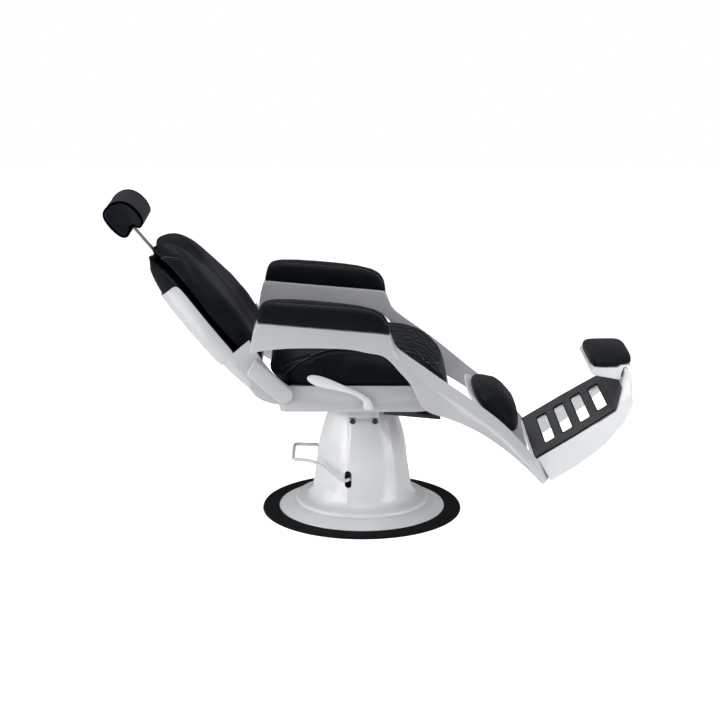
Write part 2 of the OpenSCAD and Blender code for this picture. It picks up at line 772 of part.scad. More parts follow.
// Height over the pad height, against x over the frame's reach
pad_height_shares = [[-0.556, 0.10], [-0.551, 0.34], [-0.540, 0.60], [-0.518, 0.80], [-0.480, 0.90],
    [-0.465, 0.92], [-0.367, 0.985], [-0.241, 1.00], [-0.130, 0.99], [-0.028, 0.955], [0.055, 0.86],
    [0.102, 0.70], [0.122, 0.52], [0.132, 0.37], [0.138, 0.24], [0.142, 0.08]];

function arm_pad_section(row) = let(
    x = row[0] * frame_reach, h = row[1] * arm_pad_h, z = frame_top(max(x, -0.537 * frame_reach)) + gap,
    w = arm_w * (0.80 + 0.20 * ease(0, 0.5, row[1])), m = arm_gap / 2 + arm_w / 2,
    side = [[-0.46, 0], [0.46, 0], [0.495, 0.12], [0.50, 0.40], [0.485, 0.66], [0.43, 0.84], [0.33, 0.94],
        [0.18, 0.985], [0, 1], [-0.18, 0.985], [-0.33, 0.94], [-0.43, 0.84], [-0.485, 0.66], [-0.50, 0.40],
        [-0.495, 0.12]])
    [for (p = side) [x, m + p[0] * w, z + p[1] * h]];

module arm_pad_left() {
    color(leather_black)
        skin([for (row = pad_height_shares) arm_pad_section(row)]);
}

module arm_pad_right() {
    mirror([0, 1, 0])
        arm_pad_left();
}

// Recline shaft, bushes, gas spring and release lever

crank_angle = 24;
crank_pin_r = 5;
crank_t = 5;
crank_eye_y = 7.5;
eye_slack = 1.2;
gas_r = 9;
gas_rod_r = 4;
gas_rear_x = -150;
gas_hinge_x = 25;
gas_pin_r = 4;
gas_eye_y = 7.5;
gas_ear_t = 4;
cheek_gap = 4;
cheek_t = 8;
cheek_in = tray_half_w + cheek_gap;
cheek_out = cheek_in + cheek_t;
yoke_arm_t = 22;
eye_x = pivot_x + crank_r * sin(crank_angle);
eye_z = pivot_z - crank_r * cos(crank_angle);

module shaft_bushes() {
    color([0.72, 0.60, 0.35])
        both_sides()
            difference() {
                y_cylinder(pivot_x, pivot_z, tray_half_w - 2 * tray_wall, tray_half_w + cheek_gap - gap, bush_r);
                y_cylinder(pivot_x, pivot_z, 0, 2 * tray_half_w, shaft_r + run_gap);
            }
}

module recline_shaft() {
    color(steel) {
        y_cylinder(pivot_x, pivot_z, -cheek_out - yoke_arm_t / 2, cheek_out + yoke_arm_t / 2, shaft_r);
        both_sides()
            difference() {
                union() {
                    translate([pivot_x, crank_eye_y + gap, pivot_z])
                        rotate([0, -crank_angle, 0])
                            translate([-shaft_r * 0.8, 0, -crank_r])
                                cube([shaft_r * 1.6, crank_t, crank_r]);
                    y_cylinder(eye_x, eye_z, crank_eye_y + gap, crank_eye_y + gap + crank_t, shaft_r * 0.8);
                }
            }
        y_cylinder(eye_x, eye_z, -crank_eye_y - gap - crank_t, crank_eye_y + gap + crank_t, crank_pin_r);
    }
}

module gas_bracket() {
    half_x = 12;
    base_z = tray_z + tray_wall;
    color(dark_steel)
        difference() {
            union() {
                translate([gas_hinge_x - half_x, -gas_eye_y - gap - gas_ear_t, base_z])
                    cube([2 * half_x, 2 * (gas_eye_y + gap + gas_ear_t), gas_ear_t]);
                both_sides()
                    translate([gas_hinge_x - half_x, gas_eye_y + gap, base_z])
                        cube([2 * half_x, gas_ear_t, eye_z + half_x - base_z]);
            }
            y_cylinder(gas_hinge_x, eye_z, -2 * half_x, 2 * half_x, gas_pin_r);
        }
}

module gas_pin() {
    half = gas_eye_y + gap + gas_ear_t;
    color(steel)
        y_cylinder(gas_hinge_x, eye_z, -half, half, gas_pin_r);
}

module gas_spring() {
    color(dark_steel)
        difference() {
            union() {
                translate([gas_rear_x, 0, eye_z])
                    rotate([0, 90, 0])
                        cylinder(r = gas_r, h = gas_hinge_x - gas_rear_x - 1.7 * gas_r);
                translate([gas_hinge_x - 2 * gas_r, 0, eye_z])
                    rotate([0, 90, 0])
                        cylinder(r = gas_pin_r, h = 1.5 * gas_r);
                y_cylinder(gas_hinge_x, eye_z, -gas_eye_y, gas_eye_y, gas_r);
            }
            translate([gas_rear_x - eps, 0, eye_z])
                rotate([0, 90, 0])
                    cylinder(r = gas_rod_r + run_gap, h = (gas_hinge_x - gas_rear_x) * 0.7);
            y_cylinder(gas_hinge_x, eye_z, -2 * gas_eye_y, 2 * gas_eye_y, gas_pin_r + run_gap);
        }
}

module gas_rod() {
    eye_r = crank_pin_r + eye_slack;
    color(chrome)
        difference() {
            union() {
                translate([eye_x, 0, eye_z])
                    rotate([0, 90, 0])
                        cylinder(r = gas_rod_r, h = gas_rear_x - eye_x + 60);
                y_cylinder(eye_x, eye_z, -crank_eye_y, crank_eye_y, eye_r + 2.5);
            }
            y_cylinder(eye_x, eye_z, -2 * crank_eye_y, 2 * crank_eye_y, eye_r);
        }
}

module lever_bush() {
    color(steel)
        difference() {
            y_cylinder(lever_x, lever_z, -tray_half_w - cheek_gap + gap, -tray_half_w + 3 * tray_wall, lever_bush_r);
            y_cylinder(lever_x, lever_z, -2 * tray_half_w, 0, lever_shaft_r + run_gap);
        }
}

lever_hub_r = 12;
lever_y = tray_half_w + cheek_gap;
lever_t = 14;

module lever_shaft() {
    cam_y = 3 * gas_r;
    color(steel) {
        y_cylinder(lever_x, lever_z, -lever_y, -cam_y, lever_shaft_r);
        y_cylinder(lever_x, lever_z, -cam_y, -cam_y + plate_t, 1.6 * lever_shaft_r);
    }
}

// Blade of the lever: place from the hub and half width, in shares of its reach
lever_reach = 170;
lever_shares = [[0.03, -0.06, 0.075], [0.02, 0.04, 0.072], [-0.05, 0.13, 0.05], [-0.16, 0.205, 0.042],
    [-0.30, 0.265, 0.046], [-0.45, 0.32, 0.062], [-0.62, 0.375, 0.082], [-0.78, 0.425, 0.092],
    [-0.90, 0.465, 0.080], [-0.97, 0.492, 0.052], [-1.0, 0.505, 0.02]];

module recline_lever() {
    n = 12;
    path = smooth(lever_shares, 2);
    y = -lever_y - lever_t * 0.62;
    color(white) {
        skin([for (i = [0 : len(path) - 1]) let(
            p = path[i], q = path[min(i + 1, len(path) - 1)], o = path[max(i - 1, 0)],
            dir = [q[0] - o[0], q[1] - o[1]] / norm([q[0] - o[0], q[1] - o[1]]),
            t = lever_t / 2 * (1 - 0.35 * i / len(path)))
            [for (k = [0 : n - 1]) let(a = k * 360 / n, w = p[2] * lever_reach * cos(a))
                [lever_x + p[0] * lever_reach - dir[1] * w, y - t * sin(a) - 8 * i / len(path),
                lever_z + p[1] * lever_reach + dir[0] * w]]]);
        y_cylinder(lever_x, lever_z, -lever_y - lever_t * 0.7, -lever_y, lever_hub_r);
    }
}

// Backrest, drawn upright in its own frame with the recline shaft as its origin

module in_back() {
    translate([pivot_x, 0, pivot_z])
        rotate([0, -back_lean, 0])
            children();
}

// Half width over the full one, rear edge of the cushion and its crest, over the core depth,
// against height over the back's length
back_shares = [
    [0.14, 0.940, -0.50, -0.52], [0.165, 0.950, -0.45, -0.16], [0.20, 0.960, -0.43, 0.06],
    [0.26, 0.965, -0.42, 0.24], [0.335, 0.968, -0.42, 0.37], [0.37, 0.976, -0.42, 0.40], [0.46, 0.985, -0.42, 0.49],
    [0.57, 0.970, -0.42, 0.48], [0.66, 0.930, -0.41, 0.43], [0.74, 0.878, -0.41, 0.37],
    [0.81, 0.790, -0.46, 0.31], [0.87, 0.695, -0.57, 0.24], [0.93, 0.605, -0.74, 0.13],
    [0.97, 0.560, -0.86, 0.04], [1.01, 0.520, -0.96, -0.10]];
function back_at(c, z) = lookup(z / back_len, column(back_shares, c));
function back_half(z) = back_half_w * back_at(1, z);
function back_edge(z) = back_depth * back_at(2, z);
function back_crest(z) = back_depth * back_at(3, z);
// Half width of the core over the cushion's, and its rear over its depth, against height
core_shares = [[0.13, 0.905, -0.98], [0.18, 0.915, -1.08], [0.25, 0.930, -1.17], [0.336, 0.945, -1.27],
    [0.346, 0.985, -1.38], [0.50, 0.975, -1.44], [0.65, 0.920, -1.44], [0.762, 0.846, -1.395],
    [0.775, 0.835, -1.41], [0.844, 0.710, -1.38], [0.927, 0.525, -1.264], [0.972, 0.420, -1.01],
    [1.0, 0.340, -0.96]];
function core_half(z) = back_half_w * lookup(z / back_len, column(core_shares, 1));
function core_rear(z) = back_depth * lookup(z / back_len, column(core_shares, 2));
valley_half = 46;
valley_depth = 30;

function back_front(y, z) = back_crest(z)
    - valley_depth * exp(-pow(y / valley_half, 2)) * ease(0.74, 0.98, z / back_len)
    - 14 * (1 - ease(60, 180, abs(y))) * (1 - ease(0.35, 0.8, z / back_len))
    - 10 * ease(190, 245, abs(y));

back_levels = [[0, 0.10], [0, 0.30], [0, 0.50], [0, 0.70], [0, 0.86], [0, 0.985], [0.16, 1.0], [0.40, 0.998], [0.62, 0.975], [0.78, 0.935], [0.89, 0.87], [0.955, 0.78],
    [0.985, 0.67], [1, 0.54], [1, 0.40], [1, 0.26], [1, 0.10]];

// Clearance behind the cushion, against height over the back's length
core_gaps = [[0.1, 3.2], [0.24, 2.4], [0.30, 0.7], [0.64, 0.7], [0.76, 2.2], [1.1, 2.6]];

function back_point(a, h, r) = let(
    cy = signed_pow(cos(a), 0.40), cz = signed_pow(sin(a), 0.40),
    mid = back_len * 0.575, half = back_len * 0.435,
    z = mid + r * cz * half,
    bow = 12 * (1 - pow(abs(cy), 2)) * max(0, -cz),
    y = r * cy * back_half(z) * (1 - 0.012 * (1 - abs(cz))),
    x = back_edge(z) + h * (back_front(y, z) - back_edge(z)))
    [x, y, z - bow];

module back_cushion() {
    n = 56;
    notch_half = post_w / 2 + guide_wall + 2 * gap;
    color(leather_black)
        in_back()
            difference() {
                mirror([1, 0, 0])
                    skin([for (l = back_levels) [for (k = [0 : n - 1]) let(p = back_point(k * 360 / n, l[0], l[1]))
                        [-p[0], p[1], p[2]]]]);
                translate([-2 * back_depth, -notch_half, 0.88 * back_len])
                    cube([2 * back_depth + post_x + post_t / 2 + guide_wall + 2 * gap, 2 * notch_half, back_len]);
            }
}

// Half round section behind a plane, from one side round the rear to the other
function rear_arc(x0, depth, half, n, e = 0.52) = [for (k = [0 : n]) let(a = 180 * k / n)
    [x0 - depth * pow(sin(a), e), half * signed_pow(cos(a), e)]];

module back_core() {
    n = 20;
    low = (yoke_low_z + shell_t + gap) / back_len;
    shares = [low, 0.165, 0.20, 0.26, 0.336, 0.346, 0.37, 0.50, 0.65, 0.762, 0.775, 0.81, 0.87, 0.93, 0.97, 0.998];
    color(leather_black)
        in_back()
            difference() {
                skin([for (s = shares) let(z = s * back_len, x0 = back_edge(z) - lookup(s, core_gaps), d = x0 - core_rear(z))
                    [for (p = rear_arc(x0, d, core_half(z), n)) [p[0], p[1], z]]]);
                translate([post_x - post_t / 2 - guide_wall - gap, -post_w / 2 - guide_wall - gap, guide_low_z - 90])
                    cube([post_t + 2 * guide_wall + 2 * gap, post_w + 2 * guide_wall + 2 * gap, back_len]);
            }
}

// White shell over the lower part of the core: half width and rear, against height
shell_low_z = 0.338 * back_len;
shell_top_z = 0.764 * back_len;
shell_t = 5;
shell_shares = [[0.33, 1.012, -1.46], [0.46, 1.004, -1.51], [0.57, 0.981, -1.52], [0.66, 0.941, -1.515],
    [0.764, 0.872, -1.47]];
function shell_half(z) = back_half_w * lookup(z / back_len, column(shell_shares, 1));
function shell_rear(z) = back_depth * lookup(z / back_len, column(shell_shares, 2));

module back_shell() {
    n = 20;
    levels = [for (k = [0 : 6]) shell_low_z + (shell_top_z - shell_low_z) * k / 6];
    color(white)
        in_back()
            wall_between([for (z = levels) let(x0 = back_edge(z) - soft_gap, d = x0 - shell_rear(z))
                [for (p = rear_arc(x0, d, shell_half(z), n)) [p[0], p[1], z]]],
                [for (z = levels) let(x0 = back_edge(z) - soft_gap, d = x0 - shell_rear(z) - shell_t)
                [for (p = rear_arc(x0, d, shell_half(z) - shell_t, n)) [p[0], p[1], z]]]);
}

// Yoke: the bucket under the shell, with a cheek on each side down to the shaft
yoke_rim_z = 0.337 * back_len;
yoke_low_z = 0.125 * back_len;
// How far the bucket reaches behind the shaft, against its own height
yoke_rear_shares = [[0, 0.143], [0.3, 0.158], [0.6, 0.170], [1, 0.182]];
function yoke_rear(t) = back_len * lookup(t, yoke_rear_shares);
// Outline of a cheek in shares of the back's length
cheek_shares = [[0.046, 0.337], [0.030, 0.235], [0.024, 0.13], [0.038, 0.035], [0.045, 0.0], [0.038, -0.026],
    [0.018, -0.044], [-0.014, -0.052], [-0.046, -0.040], [-0.070, -0.016], [-0.100, 0.024], [-0.124, 0.080],
    [-0.120, 0.135], [-0.085, 0.170], [-0.085, 0.337]];

module back_yoke() {
    n = 20;
    rise = yoke_rim_z - yoke_low_z;
    outline = [for (s = cheek_shares) s * back_len];
    levels = [for (k = [0 : 5]) k / 5];
    x0 = -0.05 * back_len;
    color(white)
        in_back()
            difference() {
                union() {
                    both_sides()
                        y_extrude(cheek_in, cheek_out)
                            polygon(concat([outline[0]], smooth([for (i = [1 : len(outline) - 3]) outline[i]], 3),
                                [outline[len(outline) - 2], outline[len(outline) - 1]]));
                    wall_between([for (t = levels) let(d = yoke_rear(t) + x0)
                        [for (p = rear_arc(x0, d, cheek_out, n, 0.34 + 0.18 * t)) [p[0], p[1], yoke_low_z + t * rise]]],
                        [for (t = levels) let(d = yoke_rear(t) + x0 - shell_t)
                        [for (p = rear_arc(x0, d, cheek_in, n, 0.34 + 0.18 * t)) [p[0], p[1], yoke_low_z + t * rise]]]);
                    // Floor of the bucket, which the core stands on
                    translate([0, 0, yoke_low_z])
                        linear_extrude(shell_t)
                            intersection() {
                                polygon(rear_arc(x0, yoke_rear(0) + x0 - shell_t / 2, cheek_in + shell_t / 2, n, 0.34));
                                translate([-back_len + back_edge(yoke_low_z) - soft_gap, -back_len / 2])
                                    square(back_len);
                            }
                }
                y_cylinder(0, 0, -2 * cheek_out, 2 * cheek_out, shaft_r);
            }
}

// Raised arms on the cheeks, round the ends of the recline shaft
yoke_arm_half = 25;
yoke_arm_shares = [[0.036, 0.060], [0.012, 0.242], [-0.067, 0.218], [-0.079, 0.204], [-0.056, 0.055]];

module yoke_arms() {
    color(white)
        in_back()
            both_sides()
                difference() {
                    union() {
                        y_extrude(cheek_out, cheek_out + yoke_arm_t)
                            polygon(concat([for (s = yoke_arm_shares) s * back_len], [[-yoke_arm_half, 0], [yoke_arm_half, 0]]));
                        y_cylinder(0, 0, cheek_out, cheek_out + yoke_arm_t, yoke_arm_half);
                    }
                    y_cylinder(0, 0, 0, cheek_out + yoke_arm_t / 2, shaft_r);
                }
}

module yoke_screws() {
    z_shares = [0.08, 0.17];
    color(steel)
        in_back()
            both_sides()
                for (s = z_shares)
                    y_cylinder(-0.02 * back_len, s * back_len, cheek_in - 2, cheek_in, screw_r);
}

// Headrest bar, its guide in the back, and the pad

post_x = -59;
guide_wall = 4;
guide_low_z = 0.80 * back_len;
guide_top_z = 0.965 * back_len;
post_low_z = 0.77 * back_len;
head_pivot_z = back_len + 105;
head_pin_r = 4;
knuckle_r = 8;

module post_guide() {
    color(dark_steel)
        in_back()
            difference() {
                translate([post_x - post_t / 2 - guide_wall, -post_w / 2 - guide_wall, guide_low_z])
                    cube([post_t + 2 * guide_wall, post_w + 2 * guide_wall, guide_top_z - guide_low_z]);
                translate([post_x - post_t / 2 - gap, -post_w / 2 - gap, guide_low_z - eps])
                    cube([post_t + 2 * gap, post_w + 2 * gap, back_len]);
            }
}

module head_post() {
    color(chrome)
        in_back()
            difference() {
                union() {
                    translate([post_x - post_t / 2, -post_w / 2, post_low_z])
                        cube([post_t, post_w, head_pivot_z - post_low_z]);
                    y_cylinder(post_x, head_pivot_z, -post_w / 2, post_w / 2, knuckle_r);
                }
                y_cylinder(post_x, head_pivot_z, -post_w, post_w, head_pin_r + run_gap);
            }
}

// Section of the headrest pad in shares of its depth and height, from its rear lower tip
head_shares = [[0.44, 1.00], [0.16, 0.975], [0.03, 0.84], [0.0, 0.43], [0.06, 0.15], [0.19, 0.03], [0.42, 0.12],
    [0.655, 0.245], [0.62, 0.06], [0.72, 0.0], [0.87, 0.03], [0.955, 0.15], [1.0, 0.42], [0.925, 0.73],
    [0.72, 0.93]];
head_rear_x = -92;
head_low_z = head_pivot_z - 38;
head_plate_t = 3;
ear_gap = 0.3;

function head_loop(s) = let(m = [0.5, 0.5]) [for (p = smooth_loop(head_shares, 2)) let(q = m + (p - m) * s)
    [head_rear_x + q[0] * head_depth, head_low_z + q[1] * head_h]];

module head_pocket(extra) {
    half_x = 18 + extra;
    half_y = post_w / 2 + head_plate_t + ear_gap + 2 + extra;
    translate([post_x - half_x, -half_y, 0])
        cube([2 * half_x, 2 * half_y, head_pivot_z + 2.2 * knuckle_r]);
}

module head_pad() {
    n_y = [[-0.5, 0.88], [-0.487, 0.945], [-0.45, 0.98], [-0.25, 0.995], [0, 1.0], [0.25, 0.995], [0.45, 0.98],
        [0.487, 0.945], [0.5, 0.88]];
    color(leather_black)
        in_back()
            difference() {
                skin([for (s = n_y) [for (p = head_loop(s[1])) [p[0], s[0] * head_w, p[1]]]]);
                head_pocket(0);
            }
}

module head_plate() {
    half_y = post_w / 2 + ear_gap;
    color(dark_steel)
        in_back() {
            both_sides()
                difference() {
                    translate([post_x - knuckle_r, half_y, head_pivot_z - knuckle_r])
                        cube([2 * knuckle_r, head_plate_t, 3.2 * knuckle_r - gap]);
                    y_cylinder(post_x, head_pivot_z, 0, head_w, head_pin_r);
                }
            translate([post_x - knuckle_r, -half_y - head_plate_t, head_pivot_z + 2.2 * knuckle_r - gap - head_plate_t])
                cube([2 * knuckle_r, 2 * half_y + 2 * head_plate_t, head_plate_t]);
        }
}

module head_pin() {
    half_y = post_w / 2 + ear_gap + head_plate_t;
    color(steel)
        in_back()
            y_cylinder(post_x, head_pivot_z, -half_y, half_y, head_pin_r);
}

// Calf rest between the legs

leg_slope = 44;
calf_x = frame_reach - 127;
calf_z = 307;
calf_bar_t = 8;
calf_bar_w = 60;
calf_tray_t = 10;

module in_leg() {
    translate([calf_x, 0, calf_z])
        rotate([0, leg_slope, 0])
            children();
}

module calf_bar() {
    half_w = frame_in(calf_x - calf_t / 2) - gap;
    color(dark_steel)
        in_leg()
            translate([-calf_bar_w / 2, -half_w, -calf_t / 2 - calf_tray_t - 2 * gap - calf_bar_t])
                cube([calf_bar_w, 2 * half_w, calf_bar_t]);
}

calf_levels = [[0, 0.90], [0.14, 0.965], [0.36, 1.0], [0.56, 0.985], [0.72, 0.94], [0.84, 0.86], [0.92, 0.74],
    [0.97, 0.58], [1, 0.38], [1, 0.14]];
calf_crown = 0.16;

function calf_point(a, h, r) = let(
    cx = signed_pow(cos(a), 0.62), cy = signed_pow(sin(a), 0.62),
    seam = h > 0.9 ? 1.6 * pow(abs(cos(cx * r * 300)), 20) : 0)
    [r * cx * calf_len / 2, r * cy * calf_half_w, -calf_t / 2 + h * calf_t * (1 - calf_crown * pow(r * cx, 2) - calf_crown * pow(r * cy, 2)) - seam];

module calf_pad() {
    n = 44;
    color(leather_black)
        in_leg()
            skin([for (l = calf_levels) [for (k = [0 : n - 1]) calf_point(k * 360 / n, l[0], l[1])]]);
}

module calf_tray() {
    n = 44;
    grow = 1.12;
    color(white)
        in_leg()
            skin([for (l = [[0, 0.86], [0.35, 0.97], [0.8, 1.0], [1, 0.99]]) [for (k = [0 : n - 1]) let(
                a = k * 360 / n, cx = signed_pow(cos(a), 0.62), cy = signed_pow(sin(a), 0.62))
                [l[1] * cx * calf_len / 2 * grow - 7, l[1] * cy * (calf_half_w + 4),
                -calf_t / 2 - calf_tray_t - gap + l[0] * calf_tray_t]]]);
}

// Foot rest: a skirted plate with a raised toe end, drawn flat in its own frame

toe_shares = [[0, 0.49], [0.3, 0.2], [0.61, 0], [1, 0]];
toe_angle = 42;
toe_len = 99;
toe_rise = 83;
toe_out = 363;
mat_inset = 2.2;
foot_flare = 42;
foot_lip = 14;
foot_plate_t = 14;
foot_wall = 9;
foot_slot_pitch = 60;
foot_slot_first = 59;
foot_slot_half = 136;
foot_slot_count = 4;
foot_slot_r = 9;
foot_nose_r = 14;
mat_toe_half_w = 158;
mat_toe_len = 66;
mat_bend_half_w = 196;

function toe_end() = [foot_len + toe_len * cos(toe_angle), toe_len * sin(toe_angle)];

// Side outline of the whole foot rest
function foot_outline() = let(e = toe_end(), s = foot_skirt) concat(
    [[-foot_lip, -0.12 * s], [-0.7 * foot_lip, -0.03 * s], [-0.3 * foot_lip, 0], [foot_len, 0]],
    [[e[0], e[1]], [1.308 * foot_len, 1.21 * s]],
    smooth([[1.340 * foot_len, 1.08 * s], [1.325 * foot_len, 0.74 * s], [1.236 * foot_len, 0.05 * s],
        [1.175 * foot_len, -0.31 * s], [1.0 * foot_len, -0.64 * s], [0.735 * foot_len, -0.875 * s]], 3),
    [[0.36 * foot_len, -1.0 * s], [0.03 * foot_len, -1.0 * s], [-foot_lip, -0.32 * s]]);

// Outline of the plate seen from above
module foot_plan(inset, flare = 0) {
    w = mat_inset - inset + flare;
    side = [[-foot_lip, mat_half_w + w], [0.5 * foot_len, mat_half_w + w - 1.5], [0.8 * foot_len, mat_bend_half_w + 7 + w],
        [foot_len, mat_bend_half_w + w], [toe_end()[0], mat_toe_half_w + w], [1.5 * foot_len, mat_toe_half_w + w - 6]];
    polygon(concat(side, [for (i = [len(side) - 1 : -1 : 0]) [side[i][0], -side[i][1]]]));
}

// Body of the plate: upright sides above its top face, sides that lean outward below it
module foot_body() {
    linear_extrude(4 * foot_skirt)
        foot_plan(0);
    hull() {
        translate([0, 0, -eps])
            linear_extrude(2 * eps)
                foot_plan(0);
        translate([0, 0, -1.1 * foot_skirt])
            linear_extrude(eps)
                foot_plan(0, foot_flare);
    }
}

module foot_slots(extra, height) {
    for (k = [0 : foot_slot_count - 1])
        translate([foot_slot_first + k * foot_slot_pitch, 0, -height])
            linear_extrude(2 * height)
                round_rect(foot_slot_w + 2 * extra, 2 * (foot_slot_half - (k == foot_slot_count - 1 ? 12 : 0) + extra),
                    foot_slot_r + extra);
}

heel_axis_x = foot_x + foot_len - 27;
heel_axis_z = foot_z + 221;
heel_pin_r = 3.5;
heel_knuckle_r = 6;
heel_ear_y = 62;
heel_ear_t = 12;

module foot_frame() {
    side = mat_toe_half_w - foot_wall - 20;
    color(white)
        difference() {
            union() {
                in_foot()
                    difference() {
                        intersection() {
                            y_extrude(-arm_gap, arm_gap)
                                polygon(foot_outline());
                            foot_body();
                        }
                        // Room for the ends of the legs
                        both_sides()
                            translate([leg_end_x - arm_gap, mat_half_w + mat_inset, -arm_gap])
                                cube([arm_gap, arm_gap, 2 * arm_gap]);
                        // Hollow underside within the skirt
                        y_extrude(-mat_bend_half_w + foot_wall, mat_bend_half_w - foot_wall)
                            polygon([[foot_wall, -foot_plate_t], [0.97 * foot_len, -foot_plate_t],
                                [0.94 * foot_len, -0.45 * foot_skirt], [0.80 * foot_len, -1.2 * foot_skirt],
                                [foot_wall, -1.2 * foot_skirt]]);
                        foot_slots(0, foot_plate_t + eps);
                    }
                for (s = [-1, 1])
                    translate([0, s * heel_ear_y, 0]) {
                        y_cylinder(heel_axis_x, heel_axis_z, -heel_ear_t / 2, heel_ear_t / 2, heel_knuckle_r);
                        translate([heel_axis_x, -heel_ear_t / 2, heel_axis_z - heel_knuckle_r])
                            cube([16, heel_ear_t, 2 * heel_knuckle_r]);
                    }
            }
            y_cylinder(heel_axis_x, heel_axis_z, -heel_ear_y - heel_ear_t, heel_ear_y + heel_ear_t, heel_pin_r);
        }
}

module foot_mat() {
    color(mat_grey)
        in_foot()
            difference() {
                union() {
                    linear_extrude(mat_t)
                        intersection() {
                            foot_plan(mat_inset);
                            translate([0, -mat_half_w])
                                square([foot_len, 2 * mat_half_w]);
                        }
                    translate([foot_len, 0, 0])
                        rotate([0, -toe_angle, 0])
                            linear_extrude(mat_t)
                                polygon([[0, -mat_bend_half_w], [mat_toe_len, -mat_upper_half_w()],
                                    [mat_toe_len, mat_upper_half_w()], [0, mat_bend_half_w]]);
                }
                translate([0, 0, -eps])
                    foot_slots(-gap, foot_plate_t);
            }
}

function mat_upper_half_w() = mat_bend_half_w + (mat_toe_half_w - mat_bend_half_w) * mat_toe_len / toe_len;

// Heel rest: a padded tray hinged at the toe end

module heel_pin() {
    color(steel)
        y_cylinder(heel_axis_x, heel_axis_z, -heel_ear_y - heel_ear_t / 2, heel_ear_y + heel_ear_t / 2, heel_pin_r);
}

heel_rear_x = heel_axis_x - 82;
heel_front_x = heel_axis_x + 34;
heel_top_z = heel_axis_z + 39;

module heel_tray() {
    inner = heel_ear_y - heel_ear_t / 2 - gap;
    color(white)
        difference() {
            union() {
                y_extrude(-heel_half_w, heel_half_w)
                    polygon(concat(smooth([[heel_rear_x + 8, heel_top_z - 4], [heel_rear_x, heel_top_z - 12], [heel_rear_x + 3, heel_top_z - 23]], 3),
                        [[heel_axis_x + 2, heel_top_z - 38], [heel_axis_x + 4, heel_top_z - 20], [heel_axis_x + 12, heel_top_z + 1],
                        [heel_front_x - 4, heel_top_z + 3], [heel_front_x, heel_top_z + 6], [heel_axis_x + 4, heel_top_z + 5],
                        [heel_axis_x - 6, heel_top_z - 2]]));
                y_cylinder(heel_axis_x, heel_axis_z, -inner, inner, heel_knuckle_r);
            }
            for (s = [-1, 1])
                translate([heel_axis_x - 3 * heel_knuckle_r, s * heel_ear_y - heel_ear_t / 2 - soft_gap, heel_axis_z - 3 * heel_knuckle_r])
                    cube([6 * heel_knuckle_r, heel_ear_t + 2 * soft_gap, 5 * heel_knuckle_r]);
            y_cylinder(heel_axis_x, heel_axis_z, -heel_half_w - eps, heel_half_w + eps, heel_pin_r + run_gap);
        }
}

// Underside of the heel pad over the tray's top, against the place from its hinge
heel_base = [[-90, -3.2], [-12, -1.2], [-4, 2.2], [2, 5.8], [8, 6.4], [40, 7.2]];
heel_levels = [[0, 0.10], [0, 0.18], [0, 0.30], [0, 0.40], [0, 0.49], [0, 0.64], [0, 0.80], [0, 0.94], [0.12, 0.985], [0.35, 1.0], [0.56, 0.985], [0.73, 0.94], [0.86, 0.85], [0.94, 0.71], [0.985, 0.5],
    [1, 0.28], [1, 0.1]];

function heel_point(a, h, r) = let(
    cx = signed_pow(cos(a), 0.45), cy = signed_pow(sin(a), 0.45),
    mid = (heel_rear_x + heel_front_x) / 2 + 2, half = (heel_front_x - heel_rear_x) / 2 - 2,
    x = mid + r * cx * half,
    base = heel_top_z + lookup(x - heel_axis_x, heel_base))
    [x, r * cy * (heel_half_w - 3), base + h * (heel_top_z + heel_pad_t * (1 - 0.26 * pow(abs(r * cy), 2)) - base)];

module heel_pad() {
    n = 40;
    color(leather_black)
        skin([for (l = heel_levels) [for (k = [0 : n - 1]) heel_point(k * 360 / n, l[0], l[1])]]);
}

floor_ring();
floor_disc();
cover_front();
cover_rear();
pump_flange();
pump_bolts();
pump_cylinder();
guide_bush();
pump_collar();
pedal_axles();
pump_chamber();
pump_pedal();
pump_plunger();
ram();
ram_head();
thrust_washer();
swivel_bracket();
bracket_bolts();
chassis_rails();
leg_bearer();
seat_tray();
seat_board();
seat_cushion();
frame_spacers();
frame_bolts();
side_frame_right();
side_frame_left();
arm_pad_right();
arm_pad_left();
shaft_bushes();
recline_shaft();
gas_bracket();
gas_pin();
gas_spring();
gas_rod();
lever_bush();
lever_shaft();
recline_lever();
back_yoke();
yoke_arms();
yoke_screws();
back_shell();
back_core();
back_cushion();
post_guide();
head_post();
head_pin();
head_plate();
head_pad();
calf_bar();
calf_tray();
calf_pad();
foot_frame();
foot_mat();
heel_pin();
heel_tray();
heel_pad();
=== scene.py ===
# %% [markdown]
# This lesson dresses a reclining barber chair that was first drawn as solids. The solids are loaded as a
# fixed frame. Plain metal parts keep their shape and get a finish. Moulded shells are softened copies of
# their solids, and each pad is swelled like foam in a tight cover.

# %% Load the frame
import json
import math

import bpy
import numpy as np
from mathutils import Matrix, Vector
from mathutils.bvhtree import BVHTree
from mathutils.kdtree import KDTree


